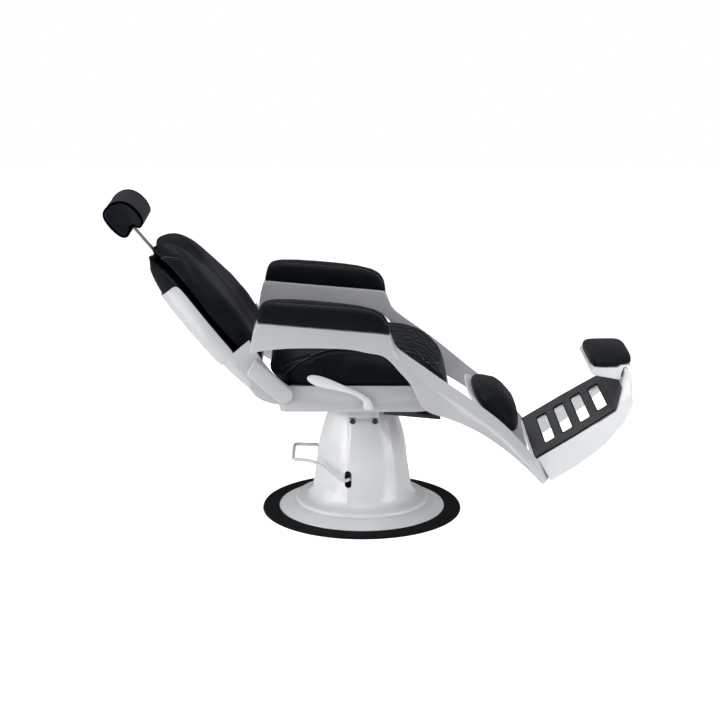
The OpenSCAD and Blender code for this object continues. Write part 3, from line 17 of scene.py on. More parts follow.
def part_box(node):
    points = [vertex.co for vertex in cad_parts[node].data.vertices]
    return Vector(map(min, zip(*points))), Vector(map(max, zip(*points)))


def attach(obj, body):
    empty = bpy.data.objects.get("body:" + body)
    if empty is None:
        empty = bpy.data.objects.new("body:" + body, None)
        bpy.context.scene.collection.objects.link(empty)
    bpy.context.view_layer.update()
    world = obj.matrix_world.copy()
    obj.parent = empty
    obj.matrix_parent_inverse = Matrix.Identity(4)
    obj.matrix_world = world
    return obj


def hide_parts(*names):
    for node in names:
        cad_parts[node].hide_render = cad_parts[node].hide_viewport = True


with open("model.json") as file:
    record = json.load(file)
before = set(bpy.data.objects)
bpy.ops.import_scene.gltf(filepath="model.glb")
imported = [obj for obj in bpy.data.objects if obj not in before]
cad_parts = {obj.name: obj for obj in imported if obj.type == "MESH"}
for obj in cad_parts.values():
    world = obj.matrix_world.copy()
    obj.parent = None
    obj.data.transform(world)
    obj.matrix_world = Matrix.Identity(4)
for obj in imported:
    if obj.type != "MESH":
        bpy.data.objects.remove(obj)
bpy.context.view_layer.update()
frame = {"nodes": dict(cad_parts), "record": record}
nodes = frame["nodes"]
bodies = frame["record"]["behaviour"]["bodies"]
body_of = {node: body for body, members in bodies.items() for node in members}

# %% [markdown]
# The camera stands about five and a half metres off and nearly 1.9 metres up, and looks down by 14 degrees.
# Its place and lens were worked out from the chair's own proportions, so the render lines up with the
# photograph. Three angles turn into three directions: forward, and a right and an up that are rolled a
# little about it.

# %% Camera
CAMERA_PLACE = Vector((-0.056177, -5.489134, 1.855775))
YAW, PITCH, ROLL = 0.009, 0.249, 0.003
LENS, SENSOR = 94.85, 36.0

forward = Vector((math.sin(YAW) * math.cos(PITCH), math.cos(YAW) * math.cos(PITCH), -math.sin(PITCH)))
level_right = Vector((math.cos(YAW), -math.sin(YAW), 0))
level_up = level_right.cross(forward)
right = math.cos(ROLL) * level_right + math.sin(ROLL) * level_up
up = -math.sin(ROLL) * level_right + math.cos(ROLL) * level_up
lens = bpy.data.cameras.new("camera")
lens.lens, lens.sensor_width = LENS, SENSOR
camera = bpy.data.objects.new("camera", lens)
bpy.context.scene.collection.objects.link(camera)
camera.matrix_world = Matrix.Translation(CAMERA_PLACE) @ Matrix((right, up, -forward)).transposed().to_4x4()
bpy.context.scene.camera = camera
print("camera looks along", tuple(round(v, 3) for v in forward))

# %% [markdown]
# The room is one plain colour. A ray that looks straight at it sees white. A ray that lights the chair gets
# less, and a mirrored ray gets a mix, so white objects keep their shade and their edges don't vanish.

# %% Room
def room(sky, seen, lit, mirrored):
    """A plain room colour: white where a ray looks straight at it, softer where it lights the chair."""
    tree = sky.node_tree
    tree.nodes.clear()
    path = tree.nodes.new("ShaderNodeLightPath")
    either, part, all_three = [tree.nodes.new("ShaderNodeMath") for _ in range(3)]
    either.operation, part.operation, all_three.operation = "MAXIMUM", "MULTIPLY", "MAXIMUM"
    tree.links.new(path.outputs["Is Camera Ray"], either.inputs[0])
    tree.links.new(path.outputs["Is Transmission Ray"], either.inputs[1])
    tree.links.new(path.outputs["Is Glossy Ray"], part.inputs[0])
    part.inputs[1].default_value = mirrored
    tree.links.new(either.outputs[0], all_three.inputs[0])
    tree.links.new(part.outputs[0], all_three.inputs[1])
    plain, bright = tree.nodes.new("ShaderNodeBackground"), tree.nodes.new("ShaderNodeBackground")
    plain.inputs["Color"].default_value = (0.93, 0.96, 1.0, 1)
    plain.inputs["Strength"].default_value = lit
    bright.inputs["Color"].default_value = (1, 1, 1, 1)
    bright.inputs["Strength"].default_value = seen
    mix, out = tree.nodes.new("ShaderNodeMixShader"), tree.nodes.new("ShaderNodeOutputWorld")
    tree.links.new(all_three.outputs[0], mix.inputs[0])
    tree.links.new(plain.outputs[0], mix.inputs[1])
    tree.links.new(bright.outputs[0], mix.inputs[2])
    tree.links.new(mix.outputs[0], out.inputs[0])


world = bpy.data.worlds.new("room")
world.use_nodes = True
bpy.context.scene.world = world
room(world, seen=1.0, lit=0.28, mirrored=0.12)
bpy.context.scene.view_settings.view_transform = "Standard"
print("room nodes", len(world.node_tree.nodes))

# %% [markdown]
# A studio lights such a chair with a few large soft lamps. Large lamps give broad, weak highlights on the
# glossy cover, where a small one would leave a hard spot. The weaker ones stand nearer, on the near side.

# %% Lamps
def lamp(name, place, target, size, power):
    """A square soft lamp that faces a point and isn't seen itself."""
    bpy.ops.object.light_add(type="AREA", location=place)
    light = bpy.context.object
    light.name, light.data.size, light.data.energy = name, size, power
    light.visible_camera = False
    light.rotation_euler = (Vector(target) - Vector(place)).to_track_quat("-Z", "Y").to_euler()


CHAIR_MIDDLE = (0.05, 0, 0.5)
lamp("top_lamp", (-0.4, 0.1, 3.0), CHAIR_MIDDLE, 2.6, 46)
lamp("left_lamp", (-3.0, -0.5, 1.2), CHAIR_MIDDLE, 1.8, 15)
lamp("high_front_lamp", (0.1, -1.4, 2.4), (0, 0, 0.2), 1.8, 9)
lamp("low_left_lamp", (-1.3, -1.0, 0.30), (0, 0, 0.16), 1.0, 9)
lamp("right_lamp", (1.8, -1.0, 0.6), (0.3, 0, 0.22), 1.2, 12)

# %% [markdown]
# The floor is a wide pale sheet. It glows for the camera alone, so it fades into the white room and still
# holds the soft shadow of the chair.

# %% Floor
FLOOR_SIZE, FLOOR_WHITE, FLOOR_GLOW = 14, 0.94, 0.80
bpy.ops.mesh.primitive_plane_add(size=FLOOR_SIZE)
floor = bpy.context.object
floor.name = "studio_floor"
paint = bpy.data.materials.new("studio_floor")
paint.use_nodes = True
tree = paint.node_tree
shader = tree.nodes["Principled BSDF"]
shader.inputs["Base Color"].default_value = (FLOOR_WHITE, FLOOR_WHITE, FLOOR_WHITE, 1)
shader.inputs["Roughness"].default_value = 0.9
path = tree.nodes.new("ShaderNodeLightPath")
glow = tree.nodes.new("ShaderNodeMath")
glow.operation = "MULTIPLY"
glow.inputs[1].default_value = FLOOR_GLOW
tree.links.new(path.outputs["Is Camera Ray"], glow.inputs[0])
shader.inputs["Emission Color"].default_value = (1, 1, 1, 1)
tree.links.new(glow.outputs[0], shader.inputs["Emission Strength"])
floor.data.materials.append(paint)
print("floor", FLOOR_SIZE, "m wide")

# %% [markdown]
# Real surfaces are never one flat value. Small node groups hold the effects that several finishes share, so
# each effect is built once. Three short helpers make a group, link two sockets, and add a Math node.

# %% Node helpers
def group(name, inputs, outputs):
    """An empty node group with named sockets, and its two end nodes."""
    made = bpy.data.node_groups.new(name, "ShaderNodeTree")
    for label, kind, value in inputs:
        made.interface.new_socket(label, in_out="INPUT", socket_type=kind).default_value = value
    for label, kind in outputs:
        made.interface.new_socket(label, in_out="OUTPUT", socket_type=kind)
    return made, made.nodes.new("NodeGroupInput"), made.nodes.new("NodeGroupOutput")


def join(tree, source, target):
    """Links an output socket to an input socket."""
    tree.links.new(source, target)


def number(tree, kind, first, second):
    """A Math node whose two inputs are sockets or plain numbers."""
    node = tree.nodes.new("ShaderNodeMath")
    node.operation = kind
    for k, value in enumerate((first, second)):
        if isinstance(value, (int, float)):
            node.inputs[k].default_value = value
        else:
            join(tree, value, node.inputs[k])
    return node.outputs[0]


VECTOR, FLOAT = "NodeSocketVector", "NodeSocketFloat"
print("node helpers ready")

# %% [markdown]
# Leather is a skin of small rounded cells with broader wrinkles over them. A Voronoi texture in its smooth
# form gives the cells, and a coarser noise gives the wrinkles. Both only feed a height, which bends light.

# %% Leather grain
WRINKLE_SHARE = 0.12
grain, taken, given = group("leather_grain",
                            [("Place", VECTOR, (0, 0, 0)), ("Cells", FLOAT, 700.0), ("Crease", FLOAT, 0.5)],
                            [("Height", FLOAT)])
cells = grain.nodes.new("ShaderNodeTexVoronoi")
cells.feature = "SMOOTH_F1"
join(grain, taken.outputs["Place"], cells.inputs["Vector"])
join(grain, taken.outputs["Cells"], cells.inputs["Scale"])
wrinkle = grain.nodes.new("ShaderNodeTexNoise")
join(grain, taken.outputs["Place"], wrinkle.inputs["Vector"])
join(grain, number(grain, "MULTIPLY", taken.outputs["Cells"], WRINKLE_SHARE), wrinkle.inputs["Scale"])
wrinkle.inputs["Detail"].default_value = 4
raised = number(grain, "SUBTRACT", 1.0, cells.outputs["Distance"])
folded = number(grain, "MULTIPLY", wrinkle.outputs[0], taken.outputs["Crease"])
join(grain, number(grain, "ADD", raised, folded), given.inputs["Height"])
print("leather grain nodes", len(grain.nodes))

# %% [markdown]
# Handling and moulding leave gloss that drifts from place to place. One soft noise gives a mask, and the
# mask is put between a low and a high roughness. A second, fine noise is the pebbled skin of plastic and
# paint.

# %% Gloss clouds and pebbled skin
clouds, taken, given = group("gloss_clouds",
                             [("Place", VECTOR, (0, 0, 0)), ("Size", FLOAT, 9.0),
                              ("Low", FLOAT, 0.2), ("High", FLOAT, 0.4)],
                             [("Value", FLOAT), ("Mask", FLOAT)])
soft = clouds.nodes.new("ShaderNodeTexNoise")
join(clouds, taken.outputs["Place"], soft.inputs["Vector"])
join(clouds, taken.outputs["Size"], soft.inputs["Scale"])
soft.inputs["Detail"].default_value = 5
soft.inputs["Roughness"].default_value = 0.6
between = clouds.nodes.new("ShaderNodeMapRange")
join(clouds, soft.outputs[0], between.inputs["Value"])
join(clouds, taken.outputs["Low"], between.inputs["To Min"])
join(clouds, taken.outputs["High"], between.inputs["To Max"])
join(clouds, between.outputs[0], given.inputs["Value"])
join(clouds, soft.outputs[0], given.inputs["Mask"])

skin, taken, given = group("pebbled_skin", [("Place", VECTOR, (0, 0, 0)), ("Fineness", FLOAT, 400.0)],
                           [("Height", FLOAT)])
bumps = skin.nodes.new("ShaderNodeTexNoise")
join(skin, taken.outputs["Place"], bumps.inputs["Vector"])
join(skin, taken.outputs["Fineness"], bumps.inputs["Scale"])
bumps.inputs["Detail"].default_value = 2
join(skin, bumps.outputs[0], given.inputs["Height"])
print("groups", [g.name for g in bpy.data.node_groups])

# %% [markdown]
# One function mixes every finish from those groups. It sets the shader's own numbers, then lets the cloud
# mask shift the colour and the gloss, and lets a fine height field bend the light.

# %% One function for all finishes
COAT_ROUGH, RELIEF_HEIGHT = 0.12, 0.0006
FIRST_COLOUR_TO, SECOND_COLOUR_FROM = 0.35, 0.75


def finish(name, colour, tint, rough, clouds_size, metal=0.0, coat=0.0, specular=0.5, relief=None,
           strength=0.1, fineness=400.0, crease=0.5):
    """A finish: two near colours, a range of roughness, and grain or pebbled relief."""
    made = bpy.data.materials.new(name)
    made.use_nodes = True
    tree = made.node_tree
    shader = tree.nodes["Principled BSDF"]
    shader.inputs["Metallic"].default_value = metal
    shader.inputs["Coat Weight"].default_value = coat
    shader.inputs["Coat Roughness"].default_value = COAT_ROUGH
    shader.inputs["Specular IOR Level"].default_value = specular
    place = tree.nodes.new("ShaderNodeTexCoord").outputs["Object"]
    cloud = tree.nodes.new("ShaderNodeGroup")
    cloud.node_tree = bpy.data.node_groups["gloss_clouds"]
    join(tree, place, cloud.inputs["Place"])
    cloud.inputs["Size"].default_value = clouds_size
    cloud.inputs["Low"].default_value, cloud.inputs["High"].default_value = rough
    join(tree, cloud.outputs["Value"], shader.inputs["Roughness"])
    ramp = tree.nodes.new("ShaderNodeValToRGB")
    first, second = ramp.color_ramp.elements
    first.color, second.color = (*colour, 1), (*tint, 1)
    first.position, second.position = FIRST_COLOUR_TO, SECOND_COLOUR_FROM
    join(tree, cloud.outputs["Mask"], ramp.inputs["Fac"])
    join(tree, ramp.outputs["Color"], shader.inputs["Base Color"])
    if relief:
        field = tree.nodes.new("ShaderNodeGroup")
        field.node_tree = bpy.data.node_groups[relief]
        join(tree, place, field.inputs["Place"])
        field.inputs[1].default_value = fineness
        if relief == "leather_grain":
            field.inputs["Crease"].default_value = crease
        bump = tree.nodes.new("ShaderNodeBump")
        bump.inputs["Strength"].default_value = strength
        bump.inputs["Distance"].default_value = RELIEF_HEIGHT
        join(tree, field.outputs["Height"], bump.inputs["Height"])
        join(tree, bump.outputs["Normal"], shader.inputs["Normal"])
    return made


print("finish function ready")

# %% [markdown]
# The chair has three whites: enamel on metal, a glossy clear-coated cover, and moulded plastic, whose white
# is set greyer as painted shade for its shaded sides.
# Against them stand black leatherette, two rubbers, dark painted steel, and the bare metals of the pump and
# the hinges. Thread and piping are kept apart, because only small details use them. The piping is near black
# with no sheen, darker than its leather, which partly paints shade along the seams.

# %% Finishes
FINISHES = {
    "rubber": finish("floor_rubber", (0.006, 0.007, 0.0085), (0.011, 0.0125, 0.014), (0.55, 0.75), 60.0,
                     specular=0.06, relief="pebbled_skin", strength=0.5, fineness=900.0),
    "white_metal": finish("white_enamel", (0.80, 0.81, 0.82), (0.83, 0.84, 0.85), (0.26, 0.36), 7.0,
                          coat=0.25, relief="pebbled_skin", strength=0.06, fineness=300.0),
    "white_cover": finish("white_cover_plastic", (0.85, 0.86, 0.87), (0.88, 0.89, 0.895), (0.20, 0.30), 6.0,
                          coat=0.8, relief="pebbled_skin", strength=0.03, fineness=160.0),
    # The moulded plastic's greyer white is painted shade on the side mouldings, yoke, back shell and seat
    # pan.
    "white_moulding": finish("white_moulded_plastic_painted_shade", (0.53, 0.54, 0.56), (0.56, 0.57, 0.585), (0.24, 0.36),
                             6.0, coat=0.5, relief="pebbled_skin", strength=0.05, fineness=260.0),
    "black_upholstery": finish("black_leatherette", (0.0032, 0.0046, 0.0072), (0.0066, 0.0088, 0.0128),
                               (0.40, 0.52), 14.0, specular=0.09, relief="leather_grain", strength=0.4,
                               fineness=520.0, crease=0.8),
    "grey_rubber": finish("mat_rubber", (0.028, 0.030, 0.034), (0.044, 0.047, 0.052), (0.5, 0.7), 22.0,
                          relief="pebbled_skin", strength=0.45, fineness=700.0),
    "dark_steel": finish("dark_painted_steel", (0.035, 0.036, 0.04), (0.05, 0.052, 0.056), (0.35, 0.5), 20.0,
                         metal=0.6, relief="pebbled_skin", strength=0.2, fineness=500.0),
    "zinc_steel": finish("zinc_plated_steel", (0.50, 0.51, 0.53), (0.62, 0.63, 0.64), (0.25, 0.42), 30.0,
                         metal=1.0, relief="pebbled_skin", strength=0.1, fineness=600.0),
    "bright_chrome": finish("polished_chrome", (0.40, 0.41, 0.43), (0.46, 0.47, 0.49), (0.05, 0.12), 20.0,
                            metal=1.0),
    "bronze": finish("bearing_bronze", (0.50, 0.36, 0.18), (0.58, 0.44, 0.22), (0.3, 0.45), 30.0, metal=1.0,
                     relief="pebbled_skin", strength=0.1, fineness=600.0),
    "board": finish("black_stained_plywood", (0.012, 0.011, 0.010), (0.022, 0.020, 0.018), (0.55, 0.7), 18.0,
                    relief="pebbled_skin", strength=0.2, fineness=300.0),
}
THREAD = finish("seam_thread", (0.15, 0.165, 0.19), (0.20, 0.215, 0.24), (0.5, 0.6), 40.0,
                relief="pebbled_skin", strength=0.2, fineness=900.0)
# Near black with no sheen: the piping's finish is partly painted shade, and it also draws the painted shade
# on the mat's edges.
PIPING_AND_PAINTED_SHADE = finish("black_piping_painted_shade", (0.0004, 0.0005, 0.0006), (0.0008, 0.0009, 0.001), (0.4, 0.5), 20.0,
              specular=0.0, relief="leather_grain", strength=0.2, fineness=600.0)
print("finishes", len(FINISHES))

# %% [markdown]
# Every solid gets its finish from one table, by its slot. A solid that no piece stands in for, such as a
# bolt or the pump's cylinder, is done once it is painted.

# %% Paint the solids
FINISH_OF = {
    "rubber": ["floor_ring"],
    "white_metal": ["floor_disc", "pump_pedal", "recline_lever", "calf_tray", "foot_frame", "heel_tray"],
    "white_cover": ["cover_front", "cover_rear"],
    "white_moulding": ["side_frame_right", "side_frame_left", "back_yoke", "yoke_arms", "back_shell",
                       "seat_tray"],
    "black_upholstery": ["seat_cushion", "arm_pad_right", "arm_pad_left", "back_core", "back_cushion",
                         "head_pad", "calf_pad", "heel_pad"],
    "grey_rubber": ["foot_mat"],
    "dark_steel": ["pump_flange", "guide_bush", "pump_collar", "pump_chamber", "bracket_bolts",
                   "chassis_rails", "leg_bearer", "frame_spacers", "gas_bracket", "gas_spring", "post_guide",
                   "head_plate", "calf_bar"],
    "zinc_steel": ["pump_bolts", "pump_cylinder", "pedal_axles", "pump_plunger", "ram_head", "thrust_washer",
                   "swivel_bracket", "frame_bolts", "recline_shaft", "gas_pin", "lever_bush", "lever_shaft",
                   "yoke_screws", "head_pin", "heel_pin"],
    "bright_chrome": ["ram", "gas_rod", "head_post"],
    "bronze": ["shaft_bushes"],
    "board": ["seat_board"],
}
slot_of = {node: slot for slot, members in FINISH_OF.items() for node in members}


def paint_piece(piece, material):
    """Gives a piece one material all over."""
    piece.data.materials.clear()
    piece.data.materials.append(material)


for name, node in nodes.items():
    paint_piece(node, FINISHES[slot_of[name]])
print("nodes painted", len(nodes))

# %% [markdown]
# A handful of helpers do what a hand does with the mouse: pick a piece, enter and leave edit mode, apply
# its modifiers, and take a copy of a solid whose loose triangles are merged.

# %% Picking and copying
MERGE, FLAT_ANGLE = 0.00001, math.radians(0.6)


def pick(piece):
    """Selects one piece alone."""
    bpy.ops.object.select_all(action="DESELECT")
    piece.select_set(True)
    bpy.context.view_layer.objects.active = piece


def edit(piece):
    """Opens a piece in edit mode with all of it selected."""
    pick(piece)
    bpy.ops.object.mode_set(mode="EDIT")
    bpy.ops.mesh.select_all(action="SELECT")


def leave():
    """Goes back to object mode."""
    bpy.ops.object.mode_set(mode="OBJECT")


def apply_all(piece):
    """Applies every modifier in turn."""
    pick(piece)
    for modifier in list(piece.modifiers):
        bpy.ops.object.modifier_apply(modifier=modifier.name)


def shade(piece, degrees):
    """Smooth shading, with a crease where faces meet at more than an angle."""
    pick(piece)
    bpy.ops.object.shade_smooth_by_angle(angle=math.radians(degrees))


def merged_copy(node, name, quads):
    """A copy of a solid's mesh as a new piece, its triangles merged and, if asked, joined to quads."""
    piece = bpy.data.objects.new(name, nodes[node].data.copy())
    bpy.context.scene.collection.objects.link(piece)
    edit(piece)
    bpy.ops.mesh.remove_doubles(threshold=MERGE)
    if quads:
        bpy.ops.mesh.tris_convert_to_quads(face_threshold=math.radians(30), shape_threshold=math.radians(60))
    leave()
    return piece


print("picking and copying ready")

# %% [markdown]
# A finished piece moves with the body of the solid it stands for, hides that solid, and is painted with
# the finish of its slot. A detail, such as thread, stands for nothing and only moves with a node's body.

# %% Dressing
def dress(piece, node):
    """Puts a piece on its body, hides the solid it stands for, and paints it."""
    slot = slot_of[node]
    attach(piece, body_of[node])
    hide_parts(node)
    paint_piece(piece, FINISHES[slot])
    print(piece.name, "faces", len(piece.data.polygons))


def trim(piece, node, material):
    """A detail that replaces nothing and moves with a node's body."""
    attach(piece, body_of[node])
    paint_piece(piece, material)
    print(piece.name, "faces", len(piece.data.polygons))


print("dressing ready")

# %% [markdown]
# Shapes are often moved by a rule in place of by hand, such as a swell that fades towards a seam. These
# helpers read a piece's points and put them back, and give the S-shaped fade that such rules need.

# %% Points, fades and curves
CURVE_STEPS = 24


def coords(piece):
    """All points of a piece, one row each."""
    co = np.zeros(len(piece.data.vertices) * 3)
    piece.data.vertices.foreach_get("co", co)
    return co.reshape(-1, 3)


def normals(piece):
    """The outward direction at each point of a piece."""
    out = np.zeros(len(piece.data.vertices) * 3)
    piece.data.vertex_normals.foreach_get("vector", out)
    return out.reshape(-1, 3)


def put(piece, co):
    """Moves a piece's points to new places."""
    piece.data.vertices.foreach_set("co", np.ascontiguousarray(co, float).ravel())
    piece.data.update()


def relax(piece, free, times):
    """The Smooth operator on the chosen points alone."""
    edit(piece)
    bpy.ops.mesh.select_all(action="DESELECT")
    leave()
    piece.data.vertices.foreach_set("select", free)
    bpy.ops.object.mode_set(mode="EDIT")
    bpy.ops.mesh.vertices_smooth(factor=0.5, repeat=times)
    leave()


def ease(start, end, v):
    """0 at the start and 1 at the end, with an S between them. The start may be the higher of the two."""
    t = np.clip((v - start) / (end - start), 0, 1)
    return t * t * (3 - 2 * t)


def through(points, step):
    """A smooth curve through a few points, as evenly spaced points."""
    p = np.array(points, float)
    p = np.vstack([2 * p[0] - p[1], p, 2 * p[-1] - p[-2]])
    out = []
    for i in range(1, len(p) - 2):
        t = np.linspace(0, 1, CURVE_STEPS, endpoint=False)[:, None]
        linear = (p[i + 1] - p[i - 1]) * t
        squared = (2 * p[i - 1] - 5 * p[i] + 4 * p[i + 1] - p[i + 2]) * t ** 2
        cubed = (3 * p[i] - p[i - 1] - 3 * p[i + 1] + p[i + 2]) * t ** 3
        out.append(0.5 * (2 * p[i] + linear + squared + cubed))
    fine = np.vstack(out + [p[-2:-1]])
    run = np.concatenate([[0], np.cumsum(np.linalg.norm(np.diff(fine, axis=0), axis=1))])
    at = np.linspace(0, run[-1], max(2, int(round(run[-1] / step)) + 1))
    return np.stack([np.interp(at, run, fine[:, k]) for k in range(p.shape[1])], axis=1)


print("shaping helpers ready")

# %% [markdown]
# The floor plate lies in a rubber ring, which keeps it from sliding and shoes from slipping. The ring is
# round, so it is a profile that is spun about the upright axis. Its top carries fine concentric ribs.

# %% Rubber floor ring
def turned(name, profile, steps=192):
    """A closed profile of (radius, height) spun about the Z axis."""
    bpy.ops.mesh.primitive_circle_add(vertices=len(profile), fill_type="NOTHING")
    piece = bpy.context.object
    piece.name = name
    put(piece, np.array([(r, 0, z) for r, z in profile]))
    edit(piece)
    bpy.ops.mesh.spin(steps=steps, angle=2 * math.pi, center=(0, 0, 0), axis=(0, 0, 1))
    bpy.ops.mesh.select_all(action="SELECT")
    bpy.ops.mesh.remove_doubles(threshold=MERGE)
    bpy.ops.mesh.normals_make_consistent(inside=False)
    leave()
    return piece


RING_R, RING_IN, RING_H = 0.300, 0.250, 0.009
RIBS, RIB_DEPTH, RIBS_FROM, RIBS_SHORT = 13, 0.0007, 0.0035, 0.008
ribs = []
for k in range(RIBS):
    a = RING_IN + RIBS_FROM + (RING_R - RING_IN - RIBS_SHORT) * k / RIBS
    b = RING_IN + RIBS_FROM + (RING_R - RING_IN - RIBS_SHORT) * (k + 1) / RIBS
    ribs += [(a + 0.0002, RING_H - RIB_DEPTH), (a + 0.0008, RING_H)]
    ribs += [(b - 0.0010, RING_H), (b - 0.0004, RING_H - RIB_DEPTH)]
inner_edge = [(RING_IN, 0.0001), (RING_IN, RING_H - 0.001), (RING_IN + 0.001, RING_H)]
outer_edge = [(RING_R - 0.003, RING_H - 0.0012), (RING_R - 0.0008, RING_H - 0.004), (RING_R, 0.0015),
              (RING_R - 0.0006, 0.0001)]
ring = turned("rubber_floor_ring", inner_edge + ribs + outer_edge)
shade(ring, 30)
dress(ring, "floor_ring")

# %% [markdown]
# The floor plate itself is a pressed and enamelled disc that rises gently to the foot of the column cover.
# It is spun too, from a rim with an eased edge and a smooth curve up to the flange.

# %% Floor plate
DISC_TOP, DISC_RIM, DISC_R, DISC_HOLE, FLANGE_R, UNDER = 0.028, 0.012, 0.2498, 0.070, 0.200, 0.0002
rim = [(DISC_HOLE, UNDER), (DISC_R, UNDER), (DISC_R, DISC_RIM - 0.004), (DISC_R - 0.0012, DISC_RIM - 0.0012),
       (DISC_R - 0.004, DISC_RIM)]
rise = through([(DISC_R - 0.008, DISC_RIM + 0.0018), (0.228, 0.0192), (0.212, 0.0252),
                (FLANGE_R + 0.001, DISC_TOP - 0.0005)], step=0.004)
flat_top = [(FLANGE_R - 0.004, DISC_TOP - 0.0002), (DISC_HOLE, DISC_TOP - 0.0002)]
disc = turned("floor_plate", rim + [tuple(p) for p in rise] + flat_top)
shade(disc, 35)
dress(disc, "floor_disc")

# %% [markdown]
# The column cover is a thin plastic bell on a brim, which hides the pump. It starts as a spun wall, closed
# and even. The outside is written from the brim to the shoulder, and the inside is the same line a little
# further in.

# %% Column cover wall
COVER_Z, COVER_H, COVER_FOOT, WALL = 0.028, 0.294, 0.150, 0.004
BRIM = [(0.1985, 0.0280), (0.2, 0.0290), (0.2, 0.0360), (0.1993, 0.0382), (0.1975, 0.0397), (0.1935, 0.0406),
        (0.186, 0.0413), (0.178, 0.0420), (0.172, 0.0430)]
BELL = [(0.055, 1.115), (0.067, 1.082), (0.095, 1.040), (0.13, 1.012), (0.18, 0.988), (0.30, 0.950),
        (0.43, 0.915), (0.571, 0.885), (0.72, 0.825), (0.87, 0.735), (0.95, 0.676)]
SHOULDER = [(0.0955, 0.985), (0.0925, 0.997)]
TOP_HOLE, SEAT_OF_BRIM = 0.056, (0.1955, COVER_Z)
WALL_SLACK, BRIM_FROM, BRIM_WALL, INSIDE_FROM = 0.003, 0.16, 0.0035, 0.006

bell = [(r * COVER_FOOT, COVER_Z + share * COVER_H) for share, r in BELL]
bell += [(r, COVER_Z + share * COVER_H) for r, share in SHOULDER]
bell = [tuple(p) for p in through([BRIM[-1], *bell], step=0.006)]
outside = BRIM + bell[1:]
inside = []
for r, z in reversed(outside):
    if z > COVER_Z + INSIDE_FROM:
        lower = BRIM_WALL if r > BRIM_FROM else 0
        inside.append((r - WALL - WALL_SLACK, min(z, COVER_Z + COVER_H - WALL) - lower))
lip = [(TOP_HOLE, COVER_Z + COVER_H), (TOP_HOLE, COVER_Z + COVER_H - WALL)]
cover = turned("column_cover", outside + lip + inside + [SEAT_OF_BRIM], steps=240)
print("cover points", len(cover.data.vertices))

# %% [markdown]
# Six ridges run up the bell, with a wide flute between each two. They are drawn by moving the wall's points
# in and out by their angle. A rounded power of a sine gives wide hollows and ridges that aren't quite
# sharp.

# %% Flutes of the cover
FLUTE_DEPTH, FLUTE_START, FLUTE_STEP = 0.0085, math.radians(-106), math.radians(60)
FLUTE_FROM, FLUTE_FULL, FLUTE_FADE_FROM, FLUTE_FADE = 0.08, 0.24, 0.7, 0.6
RIDGE_ROUND, RIDGE_POWER, RIDGE_SHIFT, PLAIN_CORE = 0.0016, 0.38, 0.5, 0.07

co = coords(cover)
share = (co[:, 2] - COVER_Z) / COVER_H
angle = np.arctan2(co[:, 1], co[:, 0])
wave = np.sin((angle - FLUTE_START) * math.pi / FLUTE_STEP)
flute = FLUTE_DEPTH * ease(FLUTE_FROM, FLUTE_FULL, share) * (1 - FLUTE_FADE * ease(FLUTE_FADE_FROM, 1, share))
flute = flute * (RIDGE_SHIFT - (wave ** 2 + RIDGE_ROUND) ** RIDGE_POWER)
radius = np.hypot(co[:, 0], co[:, 1])
grown = 1 + np.where(radius > PLAIN_CORE, flute, 0) / radius
put(cover, co * np.stack([grown, grown, np.ones_like(grown)], axis=1))
print("flutes", round(2 * math.pi / FLUTE_STEP))

# %% [markdown]
# The pedal's wire leaves the cover on both sides through a tall slot with round ends. A long cylinder
# across the chair, drawn apart at its middle, cuts both slots at once.

# %% Pedal slots
SPLIT_X, SLOT_Z, SLOT_H, SLOT_W = -0.042, 0.129, 0.051, 0.0198
bpy.ops.mesh.primitive_cylinder_add(vertices=40, radius=SLOT_W / 2, depth=0.5, rotation=(math.pi / 2, 0, 0),
                                    location=(SPLIT_X, 0, SLOT_Z))
cutter = bpy.context.object
bpy.ops.object.transform_apply(location=True, rotation=True, scale=True)
co = coords(cutter)
co[:, 2] += np.where(co[:, 2] > SLOT_Z, 1, -1) * (SLOT_H - SLOT_W) / 2
put(cutter, co)
slots = cover.modifiers.new("slots", "BOOLEAN")
slots.operation, slots.solver, slots.object = "DIFFERENCE", "EXACT", cutter
apply_all(cover)
bpy.data.objects.remove(cutter)
print("slots", SLOT_W, "by", SLOT_H)

# %% [markdown]
# The real cover is two half shells that clip together round the column, so the joint runs through the
# slots. Each half is a copy that is bisected and filled a hair's breadth from the joint, which leaves a
# fine gap.

# %% Two cover halves
JOINT_GAP = 0.00035
for name, side, node in (("column_cover_front", 1, "cover_front"), ("column_cover_rear", -1, "cover_rear")):
    half = bpy.data.objects.new(name, cover.data.copy())
    bpy.context.scene.collection.objects.link(half)
    edit(half)
    bpy.ops.mesh.bisect(plane_co=(SPLIT_X + side * JOINT_GAP, 0, 0), plane_no=(1, 0, 0), use_fill=True,
                        clear_inner=side > 0, clear_outer=side < 0)
    leave()
    shade(half, 40)
    dress(half, node)
bpy.data.objects.remove(cover)

# %% [markdown]
# Moulded plastic flows, so the arms, the yoke and the shell are copies of their solids whose triangles are
# merged and then drawn smooth. A small bevel first keeps the real edges from melting away.

# %% Flowing parts
def flowing_copy(node, name, width, levels):
    """A moulded part: its sharp edges eased, and the rest drawn smooth by subdivision."""
    piece = merged_copy(node, name, quads=True)
    if width:
        bevel = piece.modifiers.new("eased", "BEVEL")
        bevel.width, bevel.segments = width, 2
        bevel.limit_method, bevel.angle_limit = "ANGLE", math.radians(42)
    finer = piece.modifiers.new("finer", "SUBSURF")
    finer.levels = finer.render_levels = levels
    apply_all(piece)
    shade(piece, 50)
    dress(piece, node)


